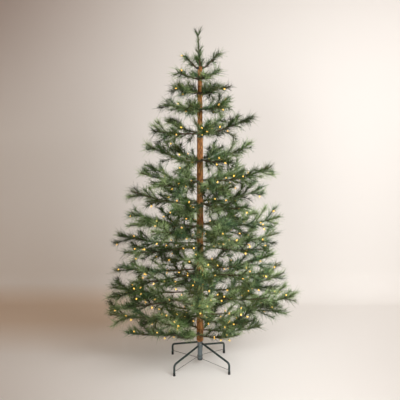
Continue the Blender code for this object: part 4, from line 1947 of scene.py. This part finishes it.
@dataclass
class Stand:
    """Four bent legs on two sleeves round a pole, braced by wires, on rubber feet."""

    pole_radius: float = 0.0165
    pole_wall: float = 0.002
    pole_foot: float = 0.038
    pole_top: float = 0.1697
    bore_depth: float = 0.040
    cap_lip: float = 0.0006
    cap_radius: float = 0.0135
    cap_height: float = 0.034
    tip: float = 0.027
    sleeve_radius: float = 0.0190
    sleeve_height: float = 0.0198
    sleeves: tuple[tuple[str, float], ...] = (("upper", UPPER_SLEEVE), ("lower", LOWER_SLEEVE))
    leg_radius: float = 0.0070
    leg_stub: float = 0.006
    leg_reach: float = 0.2616
    leg_corner: float = 0.078
    leg_bend: float = 0.028
    foot_radius: float = 0.0086
    foot_height: float = 0.020
    foot_sole: float = 0.004
    brace_radius: float = 0.0015
    brace_outer: float = 0.030
    brace_heights: Span = (0.065, 0.044)
    legs: tuple[Leg, ...] = (
        Leg("front_right", -41.3, UPPER_SLEEVE),
        Leg("back_right", 48.7, LOWER_SLEEVE),
        Leg("back_left", 138.7, UPPER_SLEEVE),
        Leg("front_left", 228.7, LOWER_SLEEVE),
    )

    def leg_path(self, leg: Leg) -> list[Vector]:
        """The points of a leg from its sleeve to its foot, with a round bend.

        Args:
            leg: the leg.

        Returns:
            The points.
        """
        inner = polar(self.sleeve_radius + GAP, leg.azimuth, leg.height)
        stub = polar(self.sleeve_radius + self.leg_stub, leg.azimuth, leg.height)
        corner = polar(self.leg_reach, leg.azimuth, self.leg_corner)
        sole = polar(self.leg_reach, leg.azimuth, self.foot_sole + GAP)
        back, ahead = (stub - corner).normalized(), (sole - corner).normalized()
        half = back.angle(ahead) / 2
        middle = corner + (back + ahead).normalized() * (self.leg_bend / math.sin(half))
        tangent = self.leg_bend / math.tan(half)
        first, last = ((corner + way * tangent - middle).normalized() for way in (back, ahead))
        bend = [middle + first.slerp(last, step / 14) * self.leg_bend for step in range(15)]
        return [inner, stub, *bend, sole]

    def build_leg(self, leg: Leg) -> list[Piece]:
        """One leg with its foot.

        Args:
            leg: the leg.

        Returns:
            The pieces, each riding on the body.
        """
        strand = bare_strand((point, self.leg_radius) for point in self.leg_path(leg))
        tube = TubeGrower(LEG_PAINT, 24).grow([strand], f"leg_{leg.word}")
        pocket, rim, top = self.leg_radius + GAP, self.foot_radius, self.foot_height
        waist = rim - 0.0006
        profile = [(0.0, self.foot_sole), (pocket, self.foot_sole), (pocket, top), (rim, top)]
        profile += [(rim, top - 0.003), (waist, top - 0.004), (waist, 0.005), (rim, 0.003), (rim, 0.0)]
        profile.append((0.0, 0.0))
        foot = lathe(f"foot_{leg.word}", profile, 32, FOOT_RUBBER, polar(self.leg_reach, leg.azimuth, 0))
        return [
            ride(tube, f"stand_leg_{leg.word}"),
            ride(foot, f"stand_foot_{leg.word}"),
        ]

    def build_pole(self) -> list[Piece]:
        """The tube that holds the trunk, its cap and the two sleeves.

        Returns:
            The pieces, each riding on the body.
        """
        wall, bore = self.pole_radius, self.pole_radius - self.pole_wall
        floor = self.pole_top - self.bore_depth
        tube = [(0.0, floor), (bore, floor), (bore, self.pole_top), (wall, self.pole_top)]
        tube += [(wall, self.pole_foot), (0.0, self.pole_foot)]
        top, lip = self.pole_foot - GAP, wall + self.cap_lip
        cap = [(0.0, top), (lip, top), (lip, top - 0.004), (self.cap_radius, self.cap_height - 0.002)]
        cap += [(0.004, self.tip + 0.001), (0.0, self.tip)]
        pieces = [
            ride(lathe("pole_tube", tube, 48, POLE_PAINT), "stand_pole"),
            ride(lathe("pole_cap", cap, 48, COLLAR_BLACK)),
        ]
        half = self.sleeve_height / 2
        for word, middle in self.sleeves:
            rim = band(wall + GAP, self.sleeve_radius, middle - half, middle + half)
            sleeve = lathe(f"sleeve_{word}", rim, 48, POLE_PAINT)
            pieces.append(ride(sleeve, f"stand_sleeve_{word}"))
        return pieces

    def build_brace(self, word: str, azimuth: float, height: float) -> Piece:
        """Two wires out to opposite legs, from a loop round the pole.

        Args:
            word: the word in its name.
            azimuth: the direction of one of its legs, in radians.
            height: the height of its loop.

        Returns:
            The piece, riding on the body.
        """
        inner = self.pole_radius + GAP + self.brace_radius
        outer = self.leg_reach - self.leg_radius - GAP - self.brace_radius
        lines = [[polar(inner, azimuth + step / 32 * 2 * math.pi, height) for step in range(33)]]
        for way in (azimuth, azimuth + math.pi):
            reaches = [(blend(inner, outer, share), share) for share in (0.0, 0.5, 0.97)]
            line = [polar(reach, way, blend(height, self.brace_outer, share)) for reach, share in reaches]
            line += [polar(outer, way, self.brace_outer + rise) for rise in (0.001, 0.008, 0.016)]
            lines.append(line)
        strands = [bare_strand((point, self.brace_radius) for point in line) for line in lines]
        brace = TubeGrower(BRACE_WIRE, 12).grow(strands, f"brace_{word}")
        return ride(brace, f"stand_brace_{word}")

    def build(self) -> list[Piece]:
        """The whole stand.

        Returns:
            The pieces, each riding on the body.
        """
        pieces = self.build_pole()
        for leg in self.legs:
            pieces += self.build_leg(leg)
        upper, lower = self.brace_heights
        pieces.append(self.build_brace("upper", self.legs[1].azimuth, upper))
        pieces.append(self.build_brace("lower", self.legs[2].azimuth, lower))
        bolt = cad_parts["stand_bolt"]
        bolt.data.materials.clear()
        bolt.data.materials.append(BOLT_STEEL.material())
        return pieces


# Studio


@dataclass(frozen=True)
class SoftLight:
    """A square soft light: where it hangs and points, how wide it opens, and how strong it is."""

    name: str
    place: tuple[float, float, float]
    target: tuple[float, float, float]
    size: float
    opening: float
    power: float
    colour: Colour = (0.98, 0.99, 1.0)

    def build(self) -> None:
        """Hang the light."""
        data = bpy.data.lights.new(self.name, "AREA")
        data.size = self.size
        data.spread = math.radians(self.opening)
        data.energy = self.power
        data.color = self.colour
        lamp = bpy.data.objects.new(self.name, data)
        lamp.location = self.place
        lamp.rotation_euler = (Vector(self.target) - Vector(self.place)).to_track_quat("-Z", "Y").to_euler()
        bpy.context.scene.collection.objects.link(lamp)


@dataclass
class Studio:
    """A pale floor that curves up into a wall, soft lights and the camera."""

    wall: float = 1.45
    cove: float = 0.25
    half_width: float = 9.0
    wall_height: float = 6.0
    floor_front: float = -9.0
    air: Colour = (1.0, 0.69, 0.47)
    air_strength: float = 0.29
    lens: float = 68.9
    camera: tuple[float, float, float] = (0.0, -5.0, 2.172)
    pitch: float = math.radians(11.39)
    lights: tuple[SoftLight, ...] = (
        SoftLight("key", (2.4, -3.0, 3.0), (0.6, 0.0, 0.9), 1.6, 110.0, 36.0),
        SoftLight("fill", (-1.5, -4.5, 2.8), (1.2, 1.45, 1.25), 2.2, 60.0, 15.0),
        SoftLight("wall_wash", (2.9, -1.2, 3.0), (0.9, 1.45, 1.3), 1.8, 80.0, 15.0, (0.98, 0.985, 1.0)),
        SoftLight("floor_wash", (0.8, -2.4, 2.0), (0.3, -0.5, 0.0), 1.2, 70.0, 7.5, (1.0, 1.0, 1.0)),
    )

    def build(self) -> None:
        """Set up the whole studio."""
        scene = bpy.context.scene
        self.sweep()
        for light in self.lights:
            light.build()
        scene.world = bpy.data.worlds.new("studio_air")
        scene.world.use_nodes = True
        inputs = scene.world.node_tree.nodes["Background"].inputs
        inputs["Color"].default_value = (*self.air, 1.0)
        inputs["Strength"].default_value = self.air_strength
        scene.view_settings.view_transform = "Standard"
        data = bpy.data.cameras.new("camera")
        data.lens = self.lens
        scene.camera = bpy.data.objects.new("camera", data)
        scene.camera.location = self.camera
        scene.camera.rotation_euler = (math.pi / 2 - self.pitch, 0, 0)
        scene.collection.objects.link(scene.camera)

    def sweep(self) -> Piece:
        """The paper: a floor, a cove and a wall.

        Returns:
            The paper.
        """
        arc = [math.radians(5.625 * step) for step in range(17)]
        start = self.wall - self.cove
        bend = [(start + self.cove * math.sin(turn), self.cove * (1 - math.cos(turn))) for turn in arc]
        line = [(self.floor_front, 0.0), *bend, (self.wall, self.wall_height)]
        points = [(side * self.half_width, y, z) for y, z in line for side in (-1, 1)]
        faces = [(2 * spot, 2 * spot + 1, 2 * spot + 3, 2 * spot + 2) for spot in range(len(line) - 1)]
        mesh = bpy.data.meshes.new("studio_sweep")
        mesh.from_pydata(points, [], faces)
        mesh.shade_smooth()
        return add_piece("studio_sweep", mesh, PaperFinish().material())


def main() -> None:
    """Build the studio and every piece of the tree."""
    logging.basicConfig(level=logging.INFO, format="%(message)s")
    Studio().build()
    crown = Crown()
    crown.plan()
    for part in (Stand(), Trunk(), crown):
        LOG.info("%s: %d pieces", type(part).__name__, len(part.build()))
    LOG.info("lights: %d pieces", len(LightString().build(crown)))


if __name__ == "__main__":
    main()
